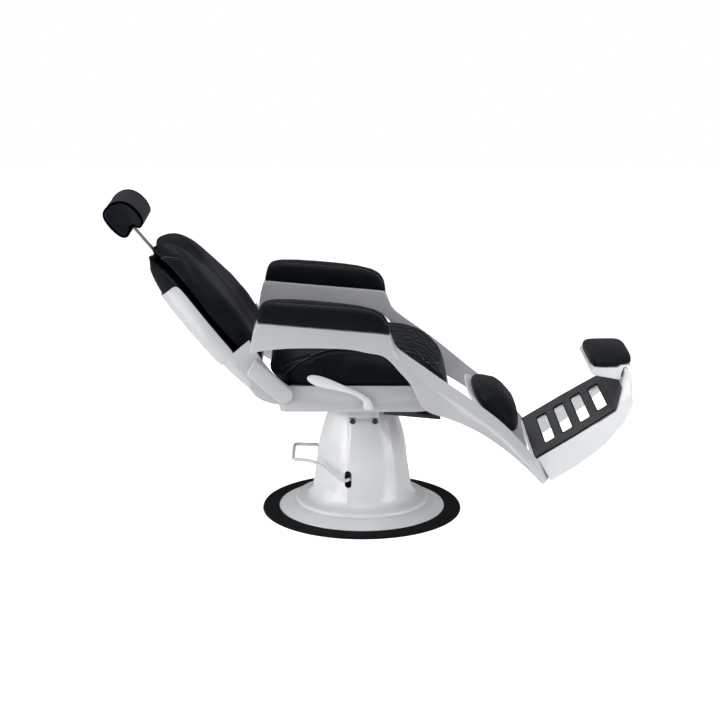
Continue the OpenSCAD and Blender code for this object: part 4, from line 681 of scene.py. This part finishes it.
for node, name, width, levels in (
        ("side_frame_right", "side_moulding_right", 0.0024, 2),
        ("side_frame_left", "side_moulding_left", 0.0024, 2),
        ("back_yoke", "back_yoke_moulding", 0.0020, 2),
        ("back_shell", "back_shell_moulding", 0.0, 2),
        ("calf_tray", "calf_tray_moulding", 0.0012, 1),
        ("recline_lever", "recline_lever_blade", 0.0008, 1),
        ("pump_pedal", "pedal_loop", 0.0, 1)):
    flowing_copy(node, name, width, levels)

# %% [markdown]
# Folded and cast parts keep flat faces and only get their edges eased. Flat neighbours are dissolved into
# one face before the bevel, so it runs round real edges and not round leftover triangles.

# %% Parts with eased edges
def eased_copy(node, name, width):
    """A flat-sided part with its sharp edges rounded, as a cast or folded part has them."""
    piece = merged_copy(node, name, quads=False)
    edit(piece)
    bpy.ops.mesh.dissolve_limited(angle_limit=FLAT_ANGLE)
    leave()
    bevel = piece.modifiers.new("eased", "BEVEL")
    bevel.width, bevel.segments = width, 3
    bevel.limit_method, bevel.angle_limit = "ANGLE", math.radians(30)
    bevel.use_clamp_overlap = True
    apply_all(piece)
    shade(piece, 35)
    dress(piece, node)


for node, name, width in (
        ("seat_tray", "seat_pan", 0.0025),
        ("heel_tray", "heel_tray_moulding", 0.002),
        ("yoke_arms", "yoke_arm_mouldings", 0.007),
        ("swivel_bracket", "swivel_bracket_plate", 0.0012),
        ("bracket_bolts", "bracket_bolt_set", 0.0006),
        ("head_post", "head_post_bar", 0.0008),
        ("calf_bar", "calf_bar_strap", 0.0008),
        ("leg_bearer", "leg_bearer_plates", 0.0008),
        ("foot_mat", "foot_mat_rubber", 0.0007)):
    eased_copy(node, name, width)

# %% [markdown]
# Each side moulding is one piece from the armrest down to the leg's foot. Its opening sags a little at the
# front corner, and the lower end of the leg reaches a little further. Both are soft moves that fade with
# distance.

# %% Arm openings and leg ends
CORNER_X, CORNER_HALF, CORNER_SAG = 0.020, 0.042, 0.008
CORNER_TOP, CORNER_FULL, CORNER_ABOVE = 0.610, 0.572, 0.5
LEG_END_MOVE, LEG_END_X, LEG_END_Z = 0.006, (0.47, 0.51), (0.30, 0.24)
for name in ("side_moulding_right", "side_moulding_left"):
    side = bpy.data.objects[name]
    co = coords(side)
    corner = np.exp(-((co[:, 0] - CORNER_X) / CORNER_HALF) ** 2)
    corner = corner * ease(CORNER_TOP, CORNER_FULL, co[:, 2]) * (co[:, 2] > CORNER_ABOVE)
    co[:, 2] -= CORNER_SAG * corner
    leg_end = LEG_END_MOVE * ease(*LEG_END_X, co[:, 0]) * ease(*LEG_END_Z, co[:, 2])
    co += leg_end[:, None] * np.array([1, 0, -1])
    put(side, co)
    print(name, "points", len(co))

# %% [markdown]
# The whole back leans by 40 degrees about the recline shaft. Two functions turn the back's own frame into
# the chair's frame and back again, so that everything on it is written as if it stood upright. The shell
# behind the back is then drawn longer at its two ends.

# %% The back's own frame and its shell
LEAN, PIVOT_X, PIVOT_Z = math.radians(40), -0.226, 0.423
UP_THE_BACK = np.array([-math.sin(LEAN), 0, math.cos(LEAN)])
OUT_OF_THE_BACK = np.array([math.cos(LEAN), 0, math.sin(LEAN)])
SHELL_ENDS, SHELL_TOP_GROWS, SHELL_FOOT_GROWS = 0.10, 0.020, 0.012


def own_frame(co):
    """The three coordinates of points in the back's own leaning frame."""
    x, z = co[:, 0] - PIVOT_X, co[:, 2] - PIVOT_Z
    return x * math.cos(LEAN) + z * math.sin(LEAN), co[:, 1], -x * math.sin(LEAN) + z * math.cos(LEAN)


def in_back(x, y, z):
    """A point of the back's own frame, in the chair's frame."""
    return (PIVOT_X + x * math.cos(LEAN) - z * math.sin(LEAN), y,
            PIVOT_Z + x * math.sin(LEAN) + z * math.cos(LEAN))


shell = bpy.data.objects["back_shell_moulding"]
co = coords(shell)
_, _, z = own_frame(co)
foot_of_shell, top_of_shell = z.min(), z.max()
stretch = (SHELL_TOP_GROWS * ease(top_of_shell - SHELL_ENDS, top_of_shell, z)
           - SHELL_FOOT_GROWS * ease(foot_of_shell + SHELL_ENDS, foot_of_shell, z))
put(shell, co + stretch[:, None] * UP_THE_BACK)
print("shell from", foot_of_shell.round(3), "to", top_of_shell.round(3))

# %% [markdown]
# The foot rest is a thin skirted plate that is open below, so the room shows through its slots. Its solid
# is full, so a copy is hollowed by a cutter that is drawn flat and then turned into place. An even net then
# lets the corner under the heel rest be smoothed, where the skirt turns up.

# %% Foot rest
FOOT_X, FOOT_Z, FOOT_RISE, FOOT_LEN = 0.505, 0.216, math.radians(32), 0.271
PLATE, FOOT_WALL, HOLLOW_HALF, HOLLOW_DEPTH = 0.011, 0.002, 0.196, 0.120
FOOT_NET, CORNER_FROM_Y, CORNER_FROM_X, CORNER_PASSES = 0.0028, 0.150, 0.200, 40


def in_foot(x, y, z):
    """A point of the foot rest's own flat frame, in the chair's frame."""
    return (FOOT_X + x * math.cos(FOOT_RISE) - z * math.sin(FOOT_RISE), y,
            FOOT_Z + x * math.sin(FOOT_RISE) + z * math.cos(FOOT_RISE))


bpy.ops.mesh.primitive_cube_add(size=1)
cutter = bpy.context.object
block = []
for x, y, z in coords(cutter):
    along = FOOT_WALL + (x + 0.5) * (FOOT_LEN - 2 * FOOT_WALL)
    block.append(in_foot(along, y * 2 * HOLLOW_HALF, -PLATE - (0.5 - z) * HOLLOW_DEPTH))
put(cutter, np.array(block))
foot = merged_copy("foot_frame", "foot_frame_moulding", quads=False)
edit(foot)
bpy.ops.mesh.dissolve_limited(angle_limit=FLAT_ANGLE)
leave()
hollow = foot.modifiers.new("hollow", "BOOLEAN")
hollow.operation, hollow.solver, hollow.object = "DIFFERENCE", "EXACT", cutter
bevel = foot.modifiers.new("eased", "BEVEL")
bevel.width, bevel.segments = 0.0026, 3
bevel.limit_method, bevel.angle_limit = "ANGLE", math.radians(35)
net = foot.modifiers.new("net", "REMESH")
net.mode, net.voxel_size = "VOXEL", FOOT_NET
apply_all(foot)
bpy.data.objects.remove(cutter)
co = coords(foot)
relax(foot, np.ones(len(co), bool), 2)
along = (co[:, 0] - FOOT_X) * math.cos(FOOT_RISE) + (co[:, 2] - FOOT_Z) * math.sin(FOOT_RISE)
relax(foot, (np.abs(co[:, 1]) > CORNER_FROM_Y) & (along > CORNER_FROM_X), CORNER_PASSES)
pick(foot)
bpy.ops.object.shade_smooth()
dress(foot, "foot_frame")

# %% [markdown]
# A pad is foam in a tight cover. It could be drawn by hand, but that looks too even, so a cloth simulation
# blows it up a little from inside. The cover of a real pad pulls taut over its foam, so each point's travel
# is capped, and then averaged with that of its neighbours. That keeps the pad in its place and leaves no
# crumpled spots.

# %% Blowing up a cover
SLACK, PRESSURE, FRAMES = 0.35, 4.0, 20


def evened(piece, move, fixed, times):
    """Each point's travel averaged with its neighbours' a number of times."""
    ends = np.array([edge.vertices[:] for edge in piece.data.edges])
    share = 1 + np.bincount(ends.ravel(), minlength=len(move))[:, None]
    for _ in range(times):
        total = move.copy()
        for here, there in ((0, 1), (1, 0)):
            np.add.at(total, ends[:, here], move[ends[:, there]])
        move = total / share
        move[fixed] = 0
    return move


def blow_up(piece, fixed, cap, calm):
    """Cloth under pressure from a slightly smaller start, its travel capped and evened."""
    rest = coords(piece)
    start = rest - normals(piece) * (cap * SLACK) * (~fixed)[:, None]
    put(piece, start)
    pins = piece.vertex_groups.new(name="held")
    pins.add([int(i) for i in np.nonzero(fixed)[0]], 1.0, "REPLACE")
    cloth = piece.modifiers.new("foam", "CLOTH")
    cloth.settings.quality = 4
    cloth.settings.mass = 0.3
    cloth.settings.tension_stiffness = cloth.settings.compression_stiffness = 12
    cloth.settings.bending_stiffness = 0.4
    cloth.settings.use_pressure = True
    cloth.settings.uniform_pressure_force = PRESSURE
    cloth.settings.effector_weights.gravity = 0
    cloth.settings.vertex_group_mass = "held"
    for step in range(1, FRAMES + 1):
        bpy.context.scene.frame_set(step)
    blown = piece.evaluated_get(bpy.context.evaluated_depsgraph_get())
    swelled = np.zeros(len(rest) * 3)
    blown.data.vertices.foreach_get("co", swelled)
    move = swelled.reshape(-1, 3) - start
    far = np.linalg.norm(move, axis=1, keepdims=True)
    move *= np.minimum(1, cap / np.maximum(far, 1e-9))
    piece.modifiers.remove(cloth)
    piece.vertex_groups.remove(pins)
    bpy.context.scene.frame_set(1)
    put(piece, rest + evened(piece, start + move - rest, fixed, calm))


print("foam ready")

# %% [markdown]
# Every pad is made in the same order: an even net over a copy of its solid, the foam, and one subdivision.
# Where a pad lies on a board or a tray, its seated face is held still, and brought back onto the solid
# afterwards.

# %% Making a pad
SEATED = 0.7


def surface_of(piece):
    """A search tree over a piece's faces, which finds the nearest place on them."""
    places = [v.co for v in piece.data.vertices]
    return BVHTree.FromPolygons(places, [p.vertices for p in piece.data.polygons])


def plump(node, name, voxel, cap, down=None, smooth=6, calm=20):
    """A pad from a solid: even net, foam, one subdivision, and a crisp edge where it is seated."""
    piece = merged_copy(node, name, quads=False)
    solid = surface_of(piece)
    net = piece.modifiers.new("net", "REMESH")
    net.mode, net.voxel_size = "VOXEL", voxel
    apply_all(piece)
    fixed = np.zeros(len(piece.data.vertices), bool)
    if down:
        seat_side = Vector(down)
        fixed[:] = [solid.find_nearest(p)[1].dot(seat_side) > SEATED for p in coords(piece)]
    relax(piece, ~fixed, smooth)
    blow_up(piece, fixed, cap, calm)
    co = coords(piece)
    for i in np.nonzero(fixed)[0]:
        co[i] = solid.find_nearest(co[i])[0]
    put(piece, co)
    finer = piece.modifiers.new("finer", "SUBSURF")
    finer.levels = finer.render_levels = 1
    apply_all(piece)
    pick(piece)
    bpy.ops.object.shade_smooth()
    dress(piece, node)
    return piece


print("pad maker ready")

# %% [markdown]
# Seams come after the foam, because the even net swallows them. A sewn line is first laid on the cover, and
# then pressed into it as a groove with a slight swell beside it, as thread pulls foam down.

# %% Sewn lines
LINE_STEP, REACH = 0.002, 4


def laid_on(piece, points, step, lift=0.0):
    """A curve through a few points, brought onto the piece's surface: places and outward directions."""
    surface = surface_of(piece)
    places, outward = [], []
    for p in through(points, step):
        hit, normal, _, _ = surface.find_nearest(Vector(p))
        places.append(np.array(hit) + lift * np.array(normal))
        outward.append(np.array(normal))
    return np.array(places), np.array(outward)


def all_laid_on(piece, lines):
    """The places of several sewn lines on a piece."""
    return [laid_on(piece, line, LINE_STEP)[0] for line in lines]


def press(piece, lines, width, depth, ridge):
    """Presses sewn lines into a cover: a groove along each, and a slight swell on either side."""
    co, out = coords(piece), normals(piece)
    line = np.vstack(lines)
    net = KDTree(len(line))
    for k, p in enumerate(line):
        net.insert(p, k)
    net.balance()
    low, high = line.min(0) - REACH * width, line.max(0) + REACH * width
    for i in np.nonzero(((co > low) & (co < high)).all(1))[0]:
        d = net.find(co[i])[2] / width
        if d < REACH:
            co[i] -= out[i] * (depth * math.exp(-d * d) - ridge * math.exp(-(d - 2) ** 2))
    put(piece, co)


def across(points):
    """The same line on the other side of the chair."""
    return [(x, -y, z) for x, y, z in points]


print("sewn lines ready")

# %% [markdown]
# A seam shows as a row of short pale threads. One thread is modelled as a tiny bevelled rod, and its few
# faces are copied along each line, turned to follow the cover. Each row of threads is one mesh.

# %% Threads
THREAD_LEN = 0.0052


def one_thread(thick):
    """The points and faces of one short thread along Z."""
    bpy.ops.mesh.primitive_cylinder_add(vertices=6, radius=thick, depth=THREAD_LEN)
    thread = bpy.context.object
    edit(thread)
    bpy.ops.mesh.bevel(offset=thick * 0.5, segments=1, affect="EDGES")
    leave()
    shape, faces = coords(thread), [list(p.vertices) for p in thread.data.polygons]
    bpy.data.objects.remove(thread)
    return shape, faces


def stitches(name, piece, lines, node, pitch=0.0066, thick=0.0005):
    """Rows of short threads laid on a cover along the lines."""
    shape, faces = one_thread(thick)
    points, polygons = [], []
    for line in lines:
        places, outward = laid_on(piece, line, pitch, thick * 1.1)
        for k in range(len(places) - 1):
            along = places[k + 1] - places[k]
            size = np.linalg.norm(along)
            if size < 1e-6:
                continue
            along = along / size
            side = np.cross(outward[k], along)
            side /= max(np.linalg.norm(side), 1e-9)
            over = np.cross(along, side)
            first = len(points) * len(shape)
            points.append(places[k] + shape @ np.array([side, over, along]))
            polygons += [[first + v for v in face] for face in faces]
    mesh = bpy.data.meshes.new(name)
    mesh.from_pydata(np.vstack(points).tolist(), [], polygons)
    row = bpy.data.objects.new(name, mesh)
    bpy.context.scene.collection.objects.link(row)
    shade(row, 60)
    trim(row, node, THREAD)


print("threads ready")

# %% [markdown]
# Piping is a thin cord in a sleeve of the cover's leather, sewn into an edge. It is a curve with a round
# thickness, turned into a mesh with closed ends. Its finish is darker than the leather and has no sheen,
# which paints shade along the seam.

# %% Piping
def tube(name, line, radius, node, closed=False):
    """A round cord of piping along a line of points."""
    curve = bpy.data.curves.new(name, "CURVE")
    curve.dimensions, curve.use_fill_caps = "3D", True
    curve.bevel_depth, curve.bevel_resolution = radius, 3
    spline = curve.splines.new("POLY")
    spline.points.add(len(line) - 1)
    for k, p in enumerate(line):
        spline.points[k].co = (*p, 1)
    spline.use_cyclic_u = closed
    made = bpy.data.objects.new(name, curve)
    bpy.context.scene.collection.objects.link(made)
    pick(made)
    bpy.ops.object.convert(target="MESH")
    made = bpy.context.object
    bpy.ops.object.shade_smooth()
    trim(made, node, PIPING_AND_PAINTED_SHADE)


print("piping ready")

# %% [markdown]
# The seat is one thick cushion on a board. The foam swells it, and its rear end bulges between the arms, so
# the points there are pushed back a little about one height.

# %% Seat cushion
DOWN = (0, 0, -1)
REAR_PUSH, REAR_X, REAR_MIDDLE_Z, REAR_HALF = 0.024, (-0.10, -0.24), 0.448, 0.034
seat = plump("seat_cushion", "seat_cushion_cover", voxel=0.006, cap=0.014, down=DOWN)
co = coords(seat)
bulge = np.exp(-((co[:, 2] - REAR_MIDDLE_Z) / REAR_HALF) ** 2)
co[:, 0] -= REAR_PUSH * ease(*REAR_X, co[:, 0]) * bulge
put(seat, co)

# %% [markdown]
# The top of the seat is quilted in wavy rows that run from back to front and down over the nose. They end
# in a seam across the nose. A smooth panel closes each side below an arched groove, and thread runs just
# above it.

# %% Seat rows and seams
SIDE_SEAM = [
    (-0.224, -0.205, 0.448), (-0.227, -0.207, 0.458), (-0.220, -0.212, 0.471), (-0.202, -0.217, 0.487),
    (-0.179, -0.218, 0.508), (-0.151, -0.210, 0.523), (-0.122, -0.201, 0.532), (-0.095, -0.194, 0.538),
    (-0.040, -0.189, 0.543), (0.040, -0.186, 0.539), (0.110, -0.181, 0.531), (0.158, -0.180, 0.521),
    (0.180, -0.195, 0.508), (0.200, -0.204, 0.492), (0.218, -0.201, 0.477), (0.233, -0.187, 0.461)]
NOSE_SEAM = [
    (0.179, -0.192, 0.512), (0.195, -0.179, 0.508), (0.217, -0.158, 0.500), (0.238, -0.124, 0.486),
    (0.247, -0.070, 0.479), (0.250, 0, 0.477)]
REAR_ROW = [
    (-0.152, -0.209, 0.528), (-0.180, -0.210, 0.520), (-0.215, -0.205, 0.508), (-0.240, -0.198, 0.497)]
ROW_GAP, WAVE, SWAY, SHIFT = 0.052, 0.057, 0.0075, 1.9
ROW_FROM, ROW_TO, ROW_STEP = -0.205, 0.36, 0.008
NOSE_X, NOSE_Z, NOSE_R = 0.13, 0.46, 0.15
ROW_ENDS_Y, ROW_ENDS_Z, ROW_ENDS_X = [0, 0.124, 0.158, 0.192], [0.481, 0.490, 0.504, 0.516], 0.1
THREAD_IN, THREAD_UP = 0.965, 0.004


def row_line(k):
    """One wavy row: along the top, then down the rounded nose to just above its seam."""
    points = []
    for s in np.arange(ROW_FROM, ROW_TO, ROW_STEP):
        y = k * ROW_GAP + SWAY * math.sin(2 * math.pi * s / WAVE + SHIFT * k)
        turn = min(max(0, s - NOSE_X) / NOSE_R, math.pi / 2)
        x = s if s < NOSE_X else NOSE_X + NOSE_R * math.sin(turn)
        points.append((x, y, NOSE_Z + NOSE_R * math.cos(turn)))
    places, _ = laid_on(seat, points, LINE_STEP)
    lowest = np.interp(abs(k * ROW_GAP), ROW_ENDS_Y, ROW_ENDS_Z)
    return places[(places[:, 2] > lowest) | (places[:, 0] < ROW_ENDS_X)]


rows = [row_line(k) for k in range(-3, 4)] + all_laid_on(seat, (REAR_ROW, across(REAR_ROW)))
press(seat, rows, width=0.0060, depth=0.0028, ridge=0.0012)
side_seams = [SIDE_SEAM, across(SIDE_SEAM)]
thread_lines = [[(x, y * THREAD_IN, z + THREAD_UP) for x, y, z in seam] for seam in side_seams]
nose = NOSE_SEAM + across(NOSE_SEAM[::-1])[1:]
press(seat, all_laid_on(seat, side_seams + [nose]), width=0.0045, depth=0.0030, ridge=0.0012)
stitches("seat_row_threads", seat, rows, "seat_cushion", pitch=0.0075, thick=0.00042)
stitches("seat_seam_threads", seat, thread_lines + [nose], "seat_cushion")
print("seat rows", len(rows))

# %% [markdown]
# The back is a thick cushion in front of a firmer rear cover. The two meet along a piped edge. The cushion
# swells freely, and the rear cover only a little, since it is stretched over a hard core.

# %% Backrest cushion and its rear cover
back = plump("back_cushion", "backrest_cushion_cover", voxel=0.006, cap=0.012)
core = plump("back_core", "backrest_rear_cover", voxel=0.006, cap=0.004, smooth=3, calm=10)

# %% [markdown]
# The back's top forms two ears that hold the neck, with a valley between them. The valley is pressed in
# from the front only, since a point at the rear that moved too would pass through the front. The crest
# between the ears is lowered on both covers, so they still meet.

# %% Ears and the valley between them
VALLEY_DEPTH, VALLEY_HALF, VALLEY_Z, FACING = 0.034, 0.042, (0.37, 0.47), (0.0, 0.5)
EARS_RISE, EARS_Z, EARS_Y = 0.010, (0.38, 0.52), (0.03, 0.08)
CREST_DROP, CREST_HALF, CREST_Z = 0.010, 0.040, (0.47, 0.55)
co, out = coords(back), normals(back)
_, y, z = own_frame(co)
facing = ease(*FACING, out @ OUT_OF_THE_BACK)
valley = ease(*VALLEY_Z, z) * np.exp(-(y / VALLEY_HALF) ** 2) * facing
ears = ease(*EARS_Z, z) * ease(*EARS_Y, np.abs(y))
co -= out * (VALLEY_DEPTH * valley)[:, None]
co[:, 2] += EARS_RISE * ears
put(back, co)
for piece in (back, core):
    co = coords(piece)
    _, y, z = own_frame(co)
    drop = CREST_DROP * ease(*CREST_Z, z) * np.exp(-(y / CREST_HALF) ** 2)
    put(piece, co - drop[:, None] * UP_THE_BACK)
print("valley depth", VALLEY_DEPTH)

# %% [markdown]
# A short arched seam crosses each ear, one seam runs down the middle, and a cord of piping follows each
# edge. All three are written in the back's own frame and then laid on the finished cover.

# %% Back seams and piping
PIPING_RADIUS = 0.0024
EAR_SEAM = [
    (-0.056, -0.118, 0.516), (-0.045, -0.125, 0.518), (-0.030, -0.128, 0.513), (-0.014, -0.133, 0.504),
    (-0.002, -0.137, 0.492), (0.008, -0.138, 0.478)]
MIDDLE_SEAM = [(0.03, 0, z) for z in (0.440, 0.400, 0.350, 0.300, 0.240, 0.180, 0.110)]
EDGE_CORD = [
    (-0.031, -0.236, 0.120), (-0.036, -0.243, 0.155), (-0.038, -0.245, 0.190), (-0.035, -0.242, 0.250),
    (-0.031, -0.238, 0.309), (-0.028, -0.215, 0.402), (-0.041, -0.165, 0.472), (-0.055, -0.125, 0.512),
    (-0.068, -0.087, 0.542)]
back_seams = [[in_back(*p) for p in line] for line in (EAR_SEAM, across(EAR_SEAM), MIDDLE_SEAM)]
press(back, all_laid_on(back, back_seams), width=0.0045, depth=0.0018, ridge=0.0008)
stitches("back_seam_threads", back, back_seams, "back_cushion")
for side, line in (("right", EDGE_CORD), ("left", across(EDGE_CORD))):
    places, _ = laid_on(back, [in_back(*p) for p in line], step=0.006, lift=0.0012)
    tube("back_piping_" + side, places, PIPING_RADIUS, "back_cushion")

# %% [markdown]
# An armrest pad is firm, so its foam swells little. A seam runs along each flank just below the top and
# turns down at the front. The inner seam is the outer one mirrored about the middle of the pad.

# %% Armrest pads
ARM_SEAM = [
    (-0.243, -0.309, 0.706), (-0.199, -0.311, 0.704), (-0.154, -0.311, 0.701), (-0.109, -0.311, 0.697),
    (-0.064, -0.309, 0.694), (-0.020, -0.307, 0.689), (0.014, -0.304, 0.683), (0.042, -0.307, 0.672),
    (0.062, -0.314, 0.654), (0.070, -0.317, 0.637)]
ARM_MIDDLE = 0.286
for node, side, name in (("arm_pad_right", -1, "right"), ("arm_pad_left", 1, "left")):
    pad = plump(node, "arm_pad_cover_" + name, voxel=0.005, cap=0.006, down=DOWN)
    outer_seam = [(x, side * -y, z) for x, y, z in ARM_SEAM]
    inner_seam = [(x, side * (2 * ARM_MIDDLE + y), z) for x, y, z in ARM_SEAM]
    press(pad, all_laid_on(pad, (outer_seam, inner_seam)), width=0.0055, depth=0.0022, ridge=0.0006)
    stitches("arm_pad_threads_" + name, pad, [outer_seam, inner_seam], node)

# %% [markdown]
# The headrest is a soft D-shaped roll. Its end faces are dished a little, and a welt runs round each of
# them. The welt's line is the roll's own section a little way in, drawn slightly smaller and set at the end
# face.

# %% Headrest roll
SECTION_POINTS, END_DISH, DISH_REACH, DISH_Y = 96, 0.009, (0.058, 0.020), (0.10, 0.112)
WELT_IN, WELT_FROM, WELT_SIZE, WELT_RADIUS = 0.008, 0.90, 0.955, 0.0038


def section(piece, y):
    """Where an upright plane cuts a rounded piece, as points in order round the cut's middle."""
    co, cut = coords(piece), []
    for edge in piece.data.edges:
        a, b = co[edge.vertices[0]], co[edge.vertices[1]]
        if (a[1] - y) * (b[1] - y) < 0:
            cut.append(a + (b - a) * (y - a[1]) / (b[1] - a[1]))
    middle = np.mean(cut, axis=0)
    arms = np.array(cut) - middle
    turn = np.arctan2(arms[:, 2], arms[:, 0])
    order = np.argsort(turn)
    reach = np.hypot(arms[:, 0], arms[:, 2])[order]
    at = np.linspace(-math.pi, math.pi, SECTION_POINTS, endpoint=False)
    reach = np.interp(at, turn[order], reach, period=2 * math.pi)
    level = np.full(len(at), y)
    return np.stack([middle[0] + reach * np.cos(at), level, middle[2] + reach * np.sin(at)], axis=1)


head = plump("head_pad", "head_pad_cover", voxel=0.005, cap=0.005)
head_low, head_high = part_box("head_pad")
co = coords(head)
middle = co.mean(0)
reach = np.hypot(co[:, 0] - middle[0], co[:, 2] - middle[2])
dish = END_DISH * ease(*DISH_REACH, reach) * ease(*DISH_Y, np.abs(co[:, 1]))
co[:, 1] -= np.sign(co[:, 1]) * dish
put(head, co)
for side, y in (("right", head_low.y + WELT_IN), ("left", head_high.y - WELT_IN)):
    line = section(head, y * WELT_FROM)
    line = line.mean(0) + WELT_SIZE * (line - line.mean(0))
    line[:, 1] = y
    tube("head_welt_" + side, line, WELT_RADIUS, "head_pad", closed=True)

# %% [markdown]
# The leg pad lies in a white tray between the two legs, and both are tilted by 44 degrees. The tray is
# lifted and made a little narrower. The pad is drawn smaller within its rim and crowned in the middle,
# where the calves rest.

# %% Leg pad
LEG_X, LEG_Z, LEG_SLOPE = 0.413, 0.307, math.radians(44)
TRAY_WIDTH, TRAY_LIFT = 0.94, 0.014
PAD_SIZE, PAD_SHIFT, PAD_LIFT = 0.80, 0.028, 0.016
CROWN, CROWN_MIDDLE, CROWN_HALF, CROWN_SIDE, CROWN_FALL = 0.013, 0.045, 0.095, 0.175, 0.5
PAD_UNDER, PAD_THICK = 0.023, 0.046
along_leg = np.array([math.cos(LEG_SLOPE), 0, -math.sin(LEG_SLOPE)])
off_leg = np.array([math.sin(LEG_SLOPE), 0, math.cos(LEG_SLOPE)])
tray = bpy.data.objects["calf_tray_moulding"]
put(tray, coords(tray) * (1, TRAY_WIDTH, 1) + TRAY_LIFT * off_leg)
calf = plump("calf_pad", "calf_pad_cover", voxel=0.005, cap=0.010, down=tuple(-off_leg))
middle = np.array([LEG_X, 0, LEG_Z])
co = coords(calf) - middle
u, v, w = co @ along_leg, co[:, 1], co @ off_leg
u, v = PAD_SIZE * u - PAD_SHIFT, PAD_SIZE * v
upper = np.clip((w + PAD_UNDER) / PAD_THICK, 0, 1)
lengthwise = np.clip(1 - ((u + CROWN_MIDDLE) / CROWN_HALF) ** 2, 0, 1)
w = w + PAD_LIFT + CROWN * (upper * lengthwise * (1 - CROWN_FALL * (v / CROWN_SIDE) ** 2))
put(calf, middle + u[:, None] * along_leg + w[:, None] * off_leg + v[:, None] * np.array([0, 1, 0]))
print("leg pad", PAD_SIZE, "of its solid")

# %% [markdown]
# Two sewn rows with thread run down the leg pad, and a plain groove curves down near each side. The grooves
# are wide and shallow, because nothing sharp shows on the real pad.

# %% Leg pad seams
CALF_ROWS = [[(0.372, 0.051, 0.369), (0.389, 0.051, 0.358), (0.404, 0.048, 0.346), (0.426, 0.047, 0.324),
              (0.447, 0.044, 0.305), (0.462, 0.040, 0.285)],
             [(0.366, -0.050, 0.372), (0.385, -0.045, 0.361), (0.406, -0.040, 0.345), (0.421, -0.040, 0.331),
              (0.441, -0.044, 0.312), (0.460, -0.055, 0.291)]]
CALF_SIDE = [(0.366, -0.150, 0.366), (0.380, -0.156, 0.354), (0.394, -0.160, 0.340), (0.410, -0.162, 0.324),
             (0.428, -0.160, 0.306), (0.444, -0.154, 0.290)]
calf_lines = CALF_ROWS + [CALF_SIDE, across(CALF_SIDE)]
press(calf, all_laid_on(calf, calf_lines), width=0.007, depth=0.0022, ridge=0.0010)
stitches("calf_pad_threads", calf, CALF_ROWS, "calf_pad", thick=0.0004)

# %% [markdown]
# The heel pad lies flat in its own tray at the end of the foot rest. After the foam, its two ends are drawn
# out a little, so it fills the tray as the real one does.

# %% Heel pad
HEEL_FRONT_GROWS, HEEL_FRONT_X = 0.010, (0.730, 0.775)
HEEL_REAR_GROWS, HEEL_REAR_X = 0.008, (0.710, 0.680)
heel = plump("heel_pad", "heel_pad_cover", voxel=0.005, cap=0.008, down=DOWN)
co = coords(heel)
co[:, 0] += HEEL_FRONT_GROWS * ease(*HEEL_FRONT_X, co[:, 0])
co[:, 0] -= HEEL_REAR_GROWS * ease(*HEEL_REAR_X, co[:, 0])
put(heel, co)

# %% [markdown]
# Near-black cords along the mat's top edges are painted shade: they draw the dark, shaded edges of the mat
# and of its slots. The edges are found by their faces: one looks up from the mat's top, the other doesn't.
# Those edges alone are turned into a curve and given a round thickness.

# %% Painted shade on the mat's edges
EDGE_SHADE_RADIUS = 0.0014
mat = merged_copy("foot_mat", "mat_edge_painted_shade", quads=False)
mat_up = Vector((-math.sin(FOOT_RISE), 0, math.cos(FOOT_RISE)))
faces_at = {}
for face in mat.data.polygons:
    for key in face.edge_keys:
        faces_at.setdefault(key, []).append(face.normal.dot(mat_up))
rim = [key for key, ups in faces_at.items() if max(ups) > 0.9 and min(ups) < 0.5]
points = [tuple(v.co) for v in mat.data.vertices]
bpy.data.objects.remove(mat)
mesh = bpy.data.meshes.new("mat_edge_painted_shade")
mesh.from_pydata(points, rim, [])
edge_shade = bpy.data.objects.new("mat_edge_painted_shade", mesh)
bpy.context.scene.collection.objects.link(edge_shade)
edit(edge_shade)
bpy.ops.mesh.delete_loose(use_verts=True, use_edges=False, use_faces=False)
leave()
pick(edge_shade)
bpy.ops.object.convert(target="CURVE")
edge_shade = bpy.context.object
edge_shade.data.bevel_depth, edge_shade.data.bevel_resolution = EDGE_SHADE_RADIUS, 2
bpy.ops.object.convert(target="MESH")
edge_shade = bpy.context.object
bpy.ops.object.shade_smooth()
trim(edge_shade, "foot_mat", PIPING_AND_PAINTED_SHADE)
